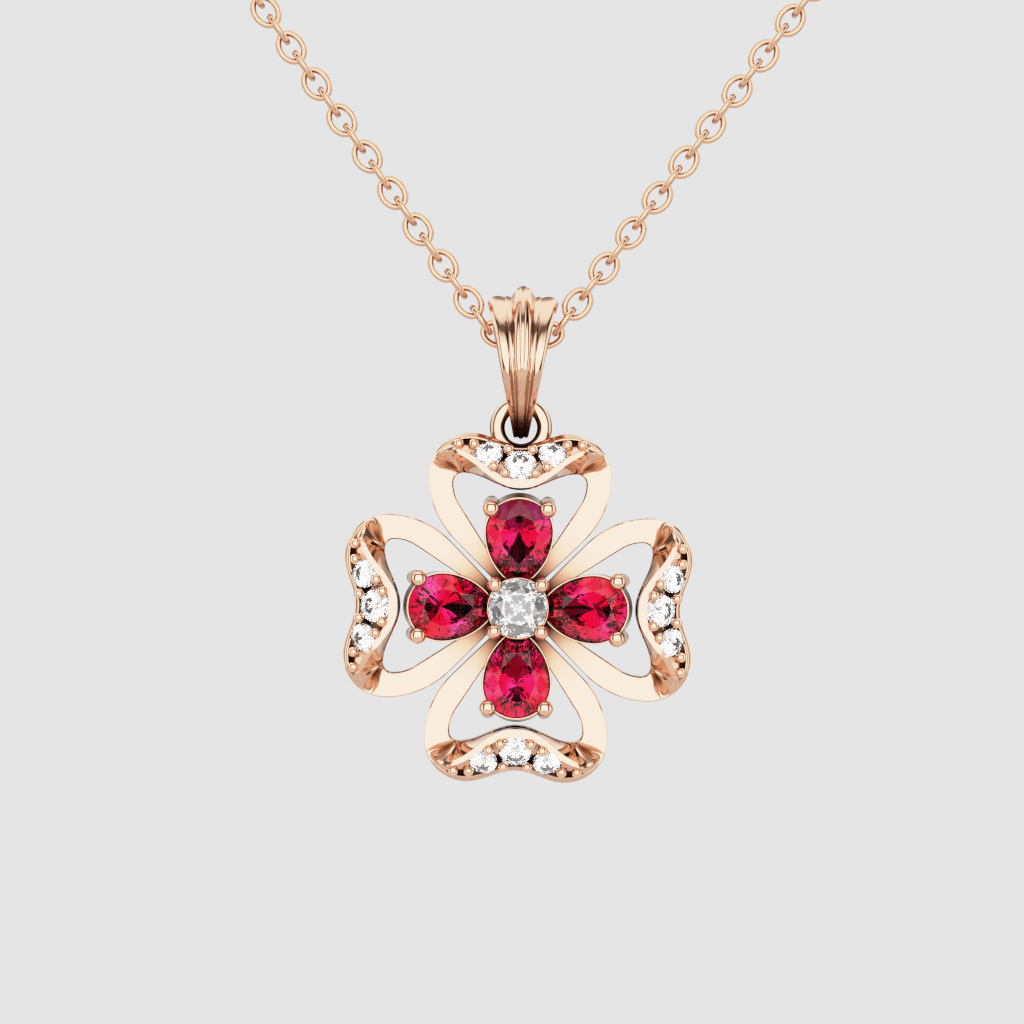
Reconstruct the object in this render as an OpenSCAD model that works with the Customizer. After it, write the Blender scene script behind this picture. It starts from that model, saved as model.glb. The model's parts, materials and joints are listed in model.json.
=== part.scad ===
// Four leaf clover pendant on a fine cable chain.
// Four open heart-shaped petals, each with a pear stone inside it and small round stones on its outer rim.
// Millimetres, +Z up, the front faces -Y. The origin is the centre of the chain's round back stretch.

/* [Petals] */
// Distance from the clover's centre to the top of a petal's lobes
petal_reach = 8.08; // [7.8:0.01:8.6]
// Half of a petal's width, at its widest place
petal_half_w = 4.25; // [3.9:0.01:4.5]
// Radius of each of the two lobes of a petal
lobe_r = 1.98; // [1.6:0.01:2.1]
// Depth of the dip between the two lobes
dip_depth = 0.53; // [0.3:0.01:0.8]
// Width of the slit between two neighbouring petals
slit_w = 0.2; // [0.12:0.01:0.3]
// Width of the flat band along a petal's side
band_w = 1.15; // [0.9:0.01:1.3]
// Thickness of the flat band
band_t = 0.8; // [0.6:0.05:1]
// Distance from the lobes' top to the corners of a petal's opening
shoulder_w = 1.85; // [1.7:0.01:2]
// Height by which the rim dips into the petal's opening
hole_dip = 0.77; // [0.5:0.01:0.9]
// Radius of the outer corners of a petal's opening
hole_corner_r = 0.45; // [0.35:0.01:0.6]
// Radius of the curve along the side of a petal's opening
hole_side_r = 1.9; // [1.5:0.05:2.3]
// Half of the angle at the opening's narrow end
hole_half_angle = 33; // [30:0.5:36]
// Radius of the plate that joins the petals behind the centre stone
hub_r = 1.8; // [1.6:0.05:2]

/* [Stone rims] */
// Height of the rim's lip in front of the flat band
lip_h = 0.94; // [0.7:0.02:1.1]
// Depth of the channel below the lip's front
channel_step = 0.12; // [0.08:0.01:0.2]
// Lean of the small stones towards the petal's outer edge
accent_tilt = 27; // [20:1:32]
// Diameter of the small stone in the middle of each rim
accent_mid_d = 1.5; // [1.3:0.01:1.55]
// Diameter of the small stones at its sides
accent_side_d = 1.28; // [1.1:0.01:1.32]
// Distance from the lobes' top down to the middle small stone
accent_mid_drop = 1.48; // [1.4:0.01:1.58]
// Distance from the lobes' top down to the side small stones
accent_side_drop = 0.98; // [0.9:0.01:1.03]
// Distance of the side small stones from the petal's middle line
accent_side_u = 1.46; // [1.43:0.01:1.55]
// Turn of the side small stones away from the petal's middle line
accent_side_turn = 15; // [8:1:20]
// Diameter of the beads that hold the small stones
bead_d = 0.5; // [0.4:0.01:0.55]
// Diameter of the posts that the beads stand on
bead_stem_d = 0.4; // [0.3:0.01:0.45]

/* [Pear settings] */
// Width of a pear stone
pear_w = 3.0; // [2.8:0.05:3.1]
// Distance from the clover's centre to the pear stones' points
pear_point_v = 1.03; // [1:0.01:1.15]
// Distance from a pear stone's round end to the edge of the petal's opening
pear_clear = 0.43; // [0.38:0.01:0.5]
// Height of the pear stones' edges in front of the clover's middle plane
pear_rise = 0.98; // [0.9:0.01:1.1]
// Lean of the pear stones, round end towards the front
pear_tilt = 9; // [5:1:11]
// Wall of the collet around a pear stone
collet_wall = 0.12; // [0.09:0.01:0.2]
// Width of the ledge inside the collet, under the stone
collet_ledge = 0.4; // [0.3:0.05:0.6]
// Diameter of the prongs and of their round tips
prong_d = 0.7; // [0.6:0.01:0.75]
// Distance from the middle of the pear's round end to its prongs
prong_out = 1.7; // [1.66:0.01:1.75]
// Angle of the pear's prongs from the petal's middle line
prong_angle = 50; // [44:1:56]

/* [Centre setting] */
// Diameter of the round centre stone
centre_d = 2.7; // [2.5:0.05:2.8]
// Height of the centre stone's edge in front of the clover's middle plane
centre_rise = 1.05; // [1.02:0.01:1.15]
// Distance of each centre prong from the two middle lines
centre_prong_u = 1.08; // [1.04:0.01:1.12]

/* [Stones] */
// Gap between a stone and the metal around it
stone_gap = 0.03; // [0.02:0.005:0.05]
// Crown height as a share of a stone's width
crown_share = 0.15; // [0.12:0.01:0.18]
// Pavilion depth as a share of a stone's width
pavilion_share = 0.42; // [0.38:0.01:0.44]
// Table width as a share of a stone's width
table_share = 0.57; // [0.5:0.01:0.62]

/* [Ring] */
// Outer diameter of the ring on top of the clover
ring_d = 2.9; // [2.85:0.01:3.1]
// Wire of that ring
ring_wire = 0.7; // [0.6:0.01:0.72]
// Distance of the ring's centre above the lobes' top
ring_lift = 0.29; // [0.22:0.01:0.37]

/* [Bail] */
// Distance from the chain's axis to the inside of the bail's round top
bail_inner_r = 1.38; // [1.3:0.01:1.5]
// Distance from the chain's axis to the front of the bail's belly
bail_belly = 2.3; // [2.2:0.05:2.5]
// Thickness of the bail's strap
bail_wall = 0.43; // [0.38:0.01:0.5]
// Distance from the chain's axis to the bail's lower tip
bail_drop = 4.8; // [4.78:0.01:4.86]
// Half of the bail's width at its top
bail_top_w = 1.66; // [1.5:0.01:1.72]
// Half of the bail's width at its tip
bail_tip_w = 0.36; // [0.3:0.01:0.4]
// Height of the bail's middle ridge above its side lobes, at the top
ridge_h = 0.48; // [0.3:0.01:0.55]
// Distance from the chain's axis down to the ring wire that the bail holds
hinge_drop = 3.2; // [3.19:0.01:3.24]

/* [Chain] */
// Width of the chain's links
chain_d = 1.31; // [1.1:0.01:1.35]
// Angle of the chain's front runs from the vertical
v_angle = 35.9; // [34:0.05:38]
// Radius of the chain's round back stretch
neck_r = 63; // [58:0.5:70]
// Radius of the chain's turn between its front runs and its back stretch
turn_r = 12; // [9:0.5:15]
// Half of the chain's level stretch inside the bail
bail_span = 1.45; // [1.4:0.01:1.55]
// Radius of the chain's bends at the bail
bend_r = 1.2; // [1:0.05:1.4]

/* [Clasp] */
// Length of the clasp's barrel
clasp_len = 7; // [5:0.5:10]
// Diameter of the clasp's barrel
clasp_d = 2.4; // [2:0.1:3]
// Outer diameter of the eye at each end of the clasp
eye_d = 1.9; // [1.8:0.05:2.2]
// Wire of those eyes
eye_wire = 0.45; // [0.4:0.05:0.5]
// Gap between the chain's end and the clasp's eye
clasp_gap = 0.15; // [0.1:0.05:0.3]

/* [Hidden] */

gold = [0.93, 0.74, 0.62];
ruby = [0.78, 0.04, 0.2];
diamond = [0.93, 0.95, 0.97];

// The petals' names are top, right, bottom and left: petal k is turned by k quarter turns
top = 0;
right = 1;
bottom = 2;
left = 3;

// The chain's front runs lie in the plane y = front_y, and its axis meets the bail at chain_z
front_y = -turn_r;
turn_start_x = neck_r - turn_r * sin(v_angle);
turn_start_z = -turn_r * cos(v_angle);
chain_z = turn_start_z - (turn_start_x - bail_span) / tan(v_angle);

// The bail's tip holds the ring's top wire, and the ring carries the clover
ring_mid_r = (ring_d - ring_wire) / 2;
ring_v = petal_reach + ring_lift;
clover_z = chain_z - hinge_drop - ring_mid_r - ring_v;

// Centres of a petal's lobe and of the opening's corner, as distances across and along the petal
lobe_u = petal_half_w - lobe_r;
lobe_v = petal_reach - lobe_r;
slit_shift = slit_w / sqrt(2);
side_r = (lobe_v - petal_half_w - slit_shift) / (sqrt(2) - 1);
hole_u = petal_half_w - band_w;
hole_v = petal_reach - shoulder_w;
corner_u = hole_u - hole_corner_r;
corner_v = hole_v - hole_corner_r;
hole_line_u = hole_u - hole_side_r * (1 - cos(hole_half_angle));
hole_line_v = corner_v - hole_side_r * sin(hole_half_angle);
hole_tip_v = hole_line_v - hole_line_u / tan(hole_half_angle);
petal_root = 0.3;

// Distances from the clover's centre to the small stones, and to the middle of the pears' round ends
accent_mid_v = petal_reach - accent_mid_drop;
accent_side_v = petal_reach - accent_side_drop;
pear_v = hole_v - hole_dip - pear_clear - pear_w / 2;
pear_len = pear_v - pear_point_v + pear_w / 2;

// Steps of the curves
side_steps = 8;
lobe_steps = 9;
dip_steps = 7;
rim_steps = 28;

// A curve that rises from 0 to 1 with level ends
function smooth(t) = (1 - cos(180 * t)) / 2;

// The dip of a petal's outer edge, and of its opening, at a distance u from the middle line
function outer_dip(u) = petal_reach - dip_depth * (1 - smooth(u / lobe_u));
function hole_dip_v(u) = hole_v - hole_dip * (1 - smooth(u / corner_u));

function mirrored(half) = concat(half, [for (i = [len(half) - 2 : -1 : 0]) [-half[i][0], half[i][1]]]);

function outer_half() = concat(
    [[petal_root, petal_root + slit_shift]],
    [for (i = [0 : side_steps])
        let (a = 45 * (1 - i / side_steps))
        [petal_half_w - side_r * (1 - cos(a)), lobe_v - side_r * sin(a)]],
    [for (i = [1 : lobe_steps])
        let (a = 90 * i / lobe_steps)
        [lobe_u + lobe_r * cos(a), lobe_v + lobe_r * sin(a)]],
    [for (i = [1 : dip_steps])
        let (u = lobe_u * (1 - i / dip_steps))
        [u, outer_dip(u)]]
);

function hole_half() = concat(
    [for (i = [0 : side_steps])
        let (a = hole_half_angle * (1 - i / side_steps))
        [hole_u - hole_side_r * (1 - cos(a)), corner_v - hole_side_r * sin(a)]],
    [for (i = [1 : lobe_steps])
        let (a = 90 * i / lobe_steps)
        [corner_u + hole_corner_r * cos(a), corner_v + hole_corner_r * sin(a)]],
    [for (i = [1 : dip_steps])
        let (u = corner_u * (1 - i / dip_steps))
        [u, hole_dip_v(u)]]
);

// The flat heart-shaped band of one petal, drawn in the plane of the clover with the petal upwards
module petal_band() {
    rotate([90, 0, 0])
        linear_extrude(height = band_t, center = true)
            difference() {
                polygon(mirrored(outer_half()));
                polygon(concat([[0, hole_tip_v]], mirrored(hole_half())));
            }
}

// The stone rim stands on the outer end of the band, from one crease to the other.
// Its stations run from -1 to 1 across the petal, and each joins a point of the opening's edge
// to a point of the outer edge. lobe_share and corner_share say where the round stretches begin.
crease_angle = 20;
lobe_share = 0.5;
corner_share = 0.68;
function outer_point(t) =
    let (s = abs(t), side = t < 0 ? -1 : 1)
    s <= lobe_share
        ? [side * lobe_u * s / lobe_share, outer_dip(lobe_u * s / lobe_share)]
        : let (a = 90 - (90 - crease_angle) * (s - lobe_share) / (1 - lobe_share))
            [side * (lobe_u + lobe_r * cos(a)), lobe_v + lobe_r * sin(a)];
function hole_point(t) =
    let (s = abs(t), side = t < 0 ? -1 : 1)
    s <= corner_share
        ? [side * corner_u * s / corner_share, hole_dip_v(corner_u * s / corner_share)]
        : let (a = 90 - (90 - crease_angle) * (s - corner_share) / (1 - corner_share))
            [side * (corner_u + hole_corner_r * cos(a)), corner_v + hole_corner_r * sin(a)];

// Sections of the rim. Columns: station, inner edge of the lip, outer edge of the lip, outer edge of
// the channel, all as shares of the rim's width, and the lip's height and the channel's outer height
// as shares of lip_h.
rim_rows = [
    [0.00, 0.02, 0.19, 0.92, 1.00, 0.22],
    [0.25, 0.03, 0.20, 0.90, 1.00, 0.20],
    [0.42, 0.14, 0.29, 0.86, 0.97, 0.20],
    [0.58, 0.36, 0.50, 0.84, 0.86, 0.22],
    [0.74, 0.60, 0.72, 0.88, 0.64, 0.20],
    [0.87, 0.80, 0.88, 0.93, 0.38, 0.14],
    [1.00, 0.84, 0.89, 0.95, 0.06, 0.04]
];
function rim_value(t, column) = lookup(abs(t), [for (row = rim_rows) [row[0], row[column]]]);

rim_root = 0.2;
rim_inset = 0.02;
function rim_section(t) =
    let (lip_top = lip_h * rim_value(t, 4), floor_top = lip_h * rim_value(t, 5))
    [
        [rim_inset, -rim_root],
        [rim_value(t, 1), lip_top],
        [rim_value(t, 2), lip_top],
        [rim_value(t, 2) + rim_inset, max(floor_top, lip_top - channel_step)],
        [rim_value(t, 3), floor_top],
        [1 - rim_inset, 0.02],
        [1 - rim_inset, -rim_root]
    ];
function rim_station(t) =
    let (a = hole_point(t), b = outer_point(t))
    [for (p = rim_section(t))
        [a[0] + (b[0] - a[0]) * p[0], -band_t / 2 - p[1], a[1] + (b[1] - a[1]) * p[0]]];

// A closed skin over a row of sections with equally many points, with flat ends
module skin(sections) {
    n = len(sections[0]);
    m = len(sections);
    points = [for (s = sections) each s];
    sides = [for (i = [0 : m - 2], j = [0 : n - 1])
        let (a = i * n + j, b = i * n + (j + 1) % n)
        each [[a, b, b + n], [a, b + n, a + n]]];
    first = [for (j = [n - 1 : -1 : 0]) j];
    last = [for (j = [0 : n - 1]) (m - 1) * n + j];
    polyhedron(points, concat(sides, [first, last]), convexity = 10);
}

module petal_rim() {
    skin([for (i = [0 : rim_steps]) rim_station(2 * i / rim_steps - 1)]);
}

// Places of the small stones of a petal: across, along, turn and diameter
accents = [
    [-accent_side_u, accent_side_v, -accent_side_turn, accent_side_d],
    [0, accent_mid_v, 0, accent_mid_d],
    [accent_side_u, accent_side_v, accent_side_turn, accent_side_d]
];

// Height of the small stones' edges in front of the clover's middle plane
accent_mid_rise = band_t / 2 + 0.56 * lip_h;
accent_side_rise = band_t / 2 + 0.47 * lip_h;
function accent_rise(k) = k == 1 ? accent_mid_rise : accent_side_rise;

// Places of the beads of a petal: across, along and height of the bead above its stone's edge plane,
// as shares of the distances of the small stones they hold
beads = [
    [1.95, 1.063, 0.42],
    [1.47, 1.064, 0.48],
    [0.38, 1.032, 0.66],
    [0.84, 0.920, 1.04],
    [0.48, 0.879, 1.12]
];

module place_accent(k) {
    s = accents[k];
    translate([s[0], -accent_rise(k), s[1]])
        rotate([0, s[2], 0])
            rotate([90 - accent_tilt, 0, 0])
                children();
}

module bead_row() {
    for (side = [-1, 1])
        for (b = beads)
            translate([side * b[0] * accent_side_u, -band_t / 2, b[1] * accent_side_v])
                rotate([90, 0, 0]) {
                    translate([0, 0, -rim_root / 2])
                        cylinder(d = bead_stem_d, h = b[2] * lip_h + rim_root / 2, $fn = 16);
                    translate([0, 0, b[2] * lip_h])
                        sphere(d = bead_d, $fn = 16);
                }
}

// Outline of a pear stone, round end along +Y, grown by g. The sides are arcs that meet the round
// end at its widest place and each other at the point.
pear_steps = 8;
function pear_point(i, g) =
    let (
        r = pear_w / 2,
        tail = pear_len - r,
        big = (tail * tail + r * r) / (2 * r),
        sweep = asin(tail / big)
    )
    i <= 2 * pear_steps
        ? let (a = 180 * i / (2 * pear_steps)) [(r + g) * cos(a), (r + g) * sin(a)]
        : i <= 3 * pear_steps
            ? let (a = sweep * (i - 2 * pear_steps) / pear_steps)
                [-(big + g) * cos(a) + big - r, -(big + g) * sin(a)]
            : let (a = sweep * (4 * pear_steps - i) / pear_steps)
                [(big + g) * cos(a) - big + r, -(big + g) * sin(a)];
function pear_outline(g) = [
    for (i = [0 : 4 * pear_steps - 1])
        if (i != 3 * pear_steps) pear_point(i, g)
        else [0, -(pear_len - pear_w / 2) - g]
];

// A cut stone: flat table, sloping crown, thin edge and a pavilion that ends in a small flat.
// Columns: share of the outline's size, height as a share of the width.
edge_share = 0.02;
culet_share = 0.06;
function stone_rows() = [
    [table_share, crown_share],
    [1, edge_share],
    [1, -edge_share],
    [culet_share, -pavilion_share]
];
module cut_stone(outline, width, gap) {
    skin([for (row = stone_rows())
        [for (p = outline)
            [p[0] * row[0], p[1] * row[0], row[1] * width + (row[1] > 0 ? gap : -gap)]]]);
}
stone_sides = 16;
module round_stone(d) {
    cut_stone([for (i = [0 : stone_sides - 1]) d / 2 * [cos(360 * i / stone_sides), sin(360 * i / stone_sides)]], d, 0);
}
module pear_stone() {
    cut_stone(pear_outline(0), pear_w, 0);
}

// The space that a stone takes, with its gap, cut from the metal around it
module round_seat(d) {
    r = d / 2 + stone_gap;
    rotate_extrude($fn = 32)
        polygon([
            [0, -pavilion_share * d - stone_gap],
            [culet_share * d / 2 + 2 * stone_gap, -pavilion_share * d - stone_gap],
            [r, -edge_share * d - stone_gap],
            [r, edge_share * d + stone_gap],
            [table_share * d / 2 + stone_gap, crown_share * d + stone_gap],
            [0, crown_share * d + stone_gap]
        ]);
}
module pear_seat() {
    cut_stone(pear_outline(stone_gap), pear_w, stone_gap);
}

module place_pear() {
    translate([0, -pear_rise, pear_v])
        rotate([90 + pear_tilt, 0, 0])
            children();
}
module place_centre() {
    translate([0, -centre_rise, 0])
        rotate([90, 0, 0])
            children();
}

// The collet's foot reaches back to the band's rear face
collet_foot = pear_rise + band_t / 2;
collet_lip = 0.1;
module pear_setting() {
    place_pear() {
        difference() {
            translate([0, 0, -collet_foot])
                linear_extrude(height = collet_foot + collet_lip)
                    polygon(pear_outline(collet_wall));
            translate([0, 0, -2 * collet_foot])
                linear_extrude(height = 4 * collet_foot)
                    polygon(pear_outline(-collet_ledge));
        }
        for (side = [-1, 1])
            rotate([0, 0, side * prong_angle])
                translate([0, prong_out, 0])
                    prong(collet_foot);
    }
}

// A round prong of the given length below the stone's edge, with a ball for a tip
prong_rise = 0.24;
module prong(foot) {
    translate([0, 0, -foot])
        cylinder(d = prong_d, h = foot + prong_rise, $fn = 32);
    translate([0, 0, prong_rise])
        sphere(d = prong_d, $fn = 32);
}

module centre_setting() {
    rotate([90, 0, 0])
        cylinder(r = hub_r, h = band_t, center = true, $fn = 64);
    place_centre()
        for (x = [-1, 1], y = [-1, 1])
            translate([x * centre_prong_u, y * centre_prong_u, 0])
                prong(centre_rise);
}

module top_ring() {
    translate([0, 0, ring_v])
        rotate([90, 0, 0])
            rotate_extrude($fn = 64)
                translate([ring_mid_r, 0])
                    circle(d = ring_wire, $fn = 32);
}

module petal_stones_space() {
    for (k = [0 : 2])
        place_accent(k)
            round_seat(accents[k][3]);
    place_pear()
        pear_seat();
}

module turn_petal(k) {
    rotate([0, 90 * k, 0])
        children();
}
module place_clover() {
    translate([0, front_y, clover_z])
        children();
}

module clover_frame() {
    color(gold)
        place_clover()
            difference() {
                union() {
                    for (k = [0 : 3])
                        turn_petal(k) {
                            petal_band();
                            petal_rim();
                            bead_row();
                            pear_setting();
                        }
                    centre_setting();
                    top_ring();
                }
                for (k = [0 : 3])
                    turn_petal(k)
                        petal_stones_space();
                place_centre()
                    round_seat(centre_d);
            }
}

module pear_ruby(k) {
    color(ruby)
        place_clover()
            turn_petal(k)
                place_pear()
                    pear_stone();
}
module accent_diamond(k, place) {
    color(diamond)
        place_clover()
            turn_petal(k)
                place_accent(place)
                    round_stone(accents[place][3]);
}
module centre_diamond() {
    color(diamond)
        place_clover()
            place_centre()
                round_stone(centre_d);
}

// The bail seen from the side, from the top to the tip. Columns: depth and height of its outer face,
// and of its inner face. Depths are shares of the belly's. Heights above the chain's axis are shares of
// the outer and inner radius of the top, and heights below it are shares of the drop to the tip.
bail_outer_r = bail_inner_r + bail_wall;
bail_inner_drop = hinge_drop + ring_wire / 2 + 0.2;
bail_inner_belly = bail_belly - bail_wall;
bail_rows = [
    [0.00, 1.000, 0.00, 1.000],
    [0.13, 0.981, 0.11, 0.991],
    [0.24, 0.917, 0.20, 0.964],
    [0.34, 0.829, 0.31, 0.911],
    [0.43, 0.718, 0.43, 0.817],
    [0.55, 0.552, 0.58, 0.614],
    [0.67, 0.376, 0.69, 0.359],
    [0.77, 0.199, 0.75, 0.087],
    [0.85, 0.022, 0.85, -0.044],
    [0.92, -0.062, 0.92, -0.122],
    [0.98, -0.146, 0.98, -0.213],
    [1.00, -0.219, 1.00, -0.281],
    [0.98, -0.312, 0.98, -0.378],
    [0.92, -0.406, 0.92, -0.476],
    [0.83, -0.492, 0.82, -0.570],
    [0.70, -0.579, 0.68, -0.676],
    [0.56, -0.677, 0.51, -0.803],
    [0.40, -0.775, 0.36, -0.912],
    [0.26, -0.865, 0.25, -0.963],
    [0.14, -0.938, 0.13, -0.989],
    [0.04, -0.990, 0.04, -0.999]
];
function bail_height(share, r, drop) = share >= 0 ? share * r : share * drop;

// Across the bail. Columns: place as a share of the half width, depth as a share of the wall, where
// 0 is the inner face and 1 the outer face, and the share of the middle ridge's height added to it
bail_across = [
    [-1.00, 0.32, 0], [-0.93, 0.68, 0], [-0.75, 1.00, 0], [-0.52, 0.80, 0], [-0.45, 0.98, 0],
    [-0.37, 0.82, 0], [-0.20, 0.95, 0.48], [0.00, 1.00, 1], [0.20, 0.95, 0.48], [0.37, 0.82, 0],
    [0.45, 0.98, 0], [0.52, 0.80, 0], [0.75, 1.00, 0], [0.93, 0.68, 0], [1.00, 0.32, 0],
    [0.84, 0.00, 0], [0.45, 0.00, 0], [-0.45, 0.00, 0], [-0.84, 0.00, 0]
];
function bail_section(row, side) =
    let (
        outer = [side * row[0] * bail_belly, bail_height(row[1], bail_outer_r, bail_drop)],
        inner = [side * row[2] * bail_inner_belly, bail_height(row[3], bail_inner_r, bail_inner_drop)],
        w = bail_tip_w + (bail_top_w - bail_tip_w) * (outer[1] + bail_drop) / (bail_outer_r + bail_drop),
        way = (outer - inner) / norm(outer - inner),
        ridge = ridge_h * max(0.12, (outer[1] + bail_drop) / (bail_outer_r + bail_drop) * 1.6 - 0.6)
    )
    [for (p = bail_across)
        let (q = inner + (outer - inner) * p[1] + way * ridge * p[2])
        [p[0] * w, q[0], q[1]]];
function bail_sections() = concat(
    [for (i = [len(bail_rows) - 1 : -1 : 0]) bail_section(bail_rows[i], 1)],
    [for (i = [1 : len(bail_rows) - 1]) bail_section(bail_rows[i], -1)]
);

// A closed skin over a ring of sections, the last one joined to the first
module ring_skin(sections) {
    n = len(sections[0]);
    m = len(sections);
    points = [for (s = sections) each s];
    sides = [for (i = [0 : m - 1], j = [0 : n - 1])
        let (a = i * n + j, b = i * n + (j + 1) % n, c = ((i + 1) % m) * n)
        each [[a, b, c + (j + 1) % n], [a, c + (j + 1) % n, c + j]]];
    polyhedron(points, sides, convexity = 10);
}

module bail() {
    color(gold)
        translate([0, front_y, chain_z])
            ring_skin(bail_sections());
}

// The chain's route, from the clasp round one side to the bail and round the other side back.
// It is one half, for the right side, and its mirror image.
arc_steps = 20;
turn_steps = 6;
run_steps = 11;
bend_steps = 4;
clasp_reach = clasp_len / 2 + eye_d - eye_wire / 2 + clasp_gap;
arc_end = acos(clasp_reach / neck_r);
bend_angle = 90 - v_angle;
bend_cut = bend_r * tan(bend_angle / 2);
bend_start = bail_span - bend_cut;
function half_route() = concat(
    [for (i = [0 : arc_steps])
        let (a = arc_end * (1 - i / arc_steps))
        [neck_r * cos(a), neck_r * sin(a), 0]],
    [for (i = [1 : turn_steps])
        let (a = 90 * (1 - i / turn_steps))
        [turn_start_x + turn_r * sin(a) * sin(v_angle),
            -turn_r * cos(a),
            turn_start_z + turn_r * sin(a) * cos(v_angle)]],
    [for (i = [1 : run_steps])
        let (s = i / run_steps, low = bail_span + bend_cut * sin(v_angle))
        [turn_start_x + (low - turn_start_x) * s,
            front_y,
            turn_start_z + (chain_z + bend_cut * cos(v_angle) - turn_start_z) * s]],
    [for (i = [1 : bend_steps])
        let (a = bend_angle * (1 - i / bend_steps))
        [bend_start + bend_r * sin(a), front_y, chain_z + bend_r * (1 - cos(a))]]
);
function route() =
    let (half = half_route())
    concat(half, [for (i = [len(half) - 1 : -1 : 0]) [-half[i][0], half[i][1], half[i][2]]]);

function unit(v) = v / norm(v);
tube_sides = 8;
tube_up = [0, -0.6, 0.8];
function tube_ring(points, i, r) =
    let (
        last = len(points) - 1,
        before = unit(points[max(i, 1)] - points[max(i, 1) - 1]),
        after = unit(points[min(i, last - 1) + 1] - points[min(i, last - 1)]),
        way = unit(before + after),
        across = unit(cross(way, tube_up)),
        up = cross(across, way),
        lean = 1 / sqrt((1 + before * after) / 2),
        bend = after - before,
        bent = norm(bend) > 0.001,
        out = bent ? unit(bend) : up
    )
    [for (j = [0 : tube_sides - 1])
        let (
            a = 360 * j / tube_sides,
            p = r * (cos(a) * across + sin(a) * up)
        )
        points[i] + p + (bent ? (lean - 1) * (p * out) * out : [0, 0, 0])];

module chain() {
    points = route();
    color(gold)
        skin([for (i = [0 : len(points) - 1]) tube_ring(points, i, chain_d / 2)]);
}

module clasp() {
    eye_x = clasp_len / 2 + (eye_d - eye_wire) / 2 - eye_wire / 4;
    color(gold)
        translate([0, neck_r, 0]) {
            rotate([0, 90, 0])
                cylinder(d = clasp_d, h = clasp_len, center = true, $fn = 48);
            for (side = [-1, 1])
                translate([side * eye_x, 0, 0])
                    rotate_extrude($fn = 48)
                        translate([(eye_d - eye_wire) / 2, 0])
                            circle(d = eye_wire, $fn = 24);
        }
}

clover_frame();
bail();
chain();
clasp();
centre_diamond();
pear_ruby(top);  // ruby_top
pear_ruby(right);  // ruby_right
pear_ruby(bottom);  // ruby_bottom
pear_ruby(left);  // ruby_left
accent_diamond(top, 0);  // accent_top_left
accent_diamond(top, 1);  // accent_top_mid
accent_diamond(top, 2);  // accent_top_right
accent_diamond(right, 0);  // accent_right_left
accent_diamond(right, 1);  // accent_right_mid
accent_diamond(right, 2);  // accent_right_right
accent_diamond(bottom, 0);  // accent_bottom_left
accent_diamond(bottom, 1);  // accent_bottom_mid
accent_diamond(bottom, 2);  // accent_bottom_right
accent_diamond(left, 0);  // accent_left_left
accent_diamond(left, 1);  // accent_left_mid
accent_diamond(left, 2);  // accent_left_right
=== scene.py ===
import json
import math

import bmesh
import bpy
import numpy as np
from mathutils import Matrix, Vector


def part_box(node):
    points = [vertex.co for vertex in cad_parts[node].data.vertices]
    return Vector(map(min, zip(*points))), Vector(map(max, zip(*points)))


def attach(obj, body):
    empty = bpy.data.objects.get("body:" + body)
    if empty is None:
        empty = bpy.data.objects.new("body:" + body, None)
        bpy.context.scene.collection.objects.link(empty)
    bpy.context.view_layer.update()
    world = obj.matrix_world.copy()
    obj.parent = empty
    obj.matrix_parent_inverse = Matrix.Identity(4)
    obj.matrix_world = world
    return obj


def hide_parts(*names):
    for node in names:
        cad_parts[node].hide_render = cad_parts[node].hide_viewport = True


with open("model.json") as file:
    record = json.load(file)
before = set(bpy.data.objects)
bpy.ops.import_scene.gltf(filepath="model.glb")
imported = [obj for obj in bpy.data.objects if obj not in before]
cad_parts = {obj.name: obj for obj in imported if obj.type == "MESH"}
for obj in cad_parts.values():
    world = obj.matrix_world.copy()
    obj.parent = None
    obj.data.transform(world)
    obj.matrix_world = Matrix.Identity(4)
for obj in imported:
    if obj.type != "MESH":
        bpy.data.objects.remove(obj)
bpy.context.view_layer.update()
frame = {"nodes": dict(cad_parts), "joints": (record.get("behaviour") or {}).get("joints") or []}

MM = 0.001
WHOLE_TURN = 2 * math.pi
# Points that lie closer than this, in metres, become one
MERGE = 1e-7

# Places taken from the frame, in metres
joints = {joint["name"]: joint for joint in frame["joints"]}
BAIL_AXIS = Vector(joints["bail_swing"]["pos_m"])
centre_low, centre_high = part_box("centre_diamond")
CLOVER = Vector((0, BAIL_AXIS.y, (centre_low.z + centre_high.z) / 2))

# Petals, in millimetres
PETAL_REACH = 8.08
PETAL_HALF_W = 4.25
LOBE_R = 1.98
DIP_DEPTH = 0.53
SLIT_W = 0.2
BAND_W = 1.15
BAND_T = 0.8
SHOULDER_W = 1.85
HOLE_DIP = 0.77
HOLE_CORNER_R = 0.45
HOLE_SIDE_R = 1.9
HOLE_HALF_ANGLE = math.radians(33)
HUB_R = 1.8
PETAL_ROOT = 0.3
EDGE_BEVEL = 0.05

# Stone rims
LIP_H = 0.94
CHANNEL_STEP = 0.12
CREASE_ANGLE = math.radians(20)
CREASE_SPAN = 0.143
LOBE_SHARE = 0.5
CORNER_SHARE = 0.68
ACCENT_TILT = 27
ACCENT_TURN = 15
ACCENT_MID_D = 1.5
ACCENT_SIDE_D = 1.28
ACCENT_MID_V = 6.6
ACCENT_SIDE_V = 7.1
ACCENT_SIDE_U = 1.46
ACCENT_MID_RISE = BAND_T / 2 + 0.56 * LIP_H
ACCENT_SIDE_RISE = BAND_T / 2 + 0.47 * LIP_H
ACCENT_SPIN = {"left": 17, "mid": 5, "right": 31}
PETAL_SPIN = 11
CENTRE_SPIN = 12
BEAD_D = 0.5
BEAD_STEM_D = 0.42

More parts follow.
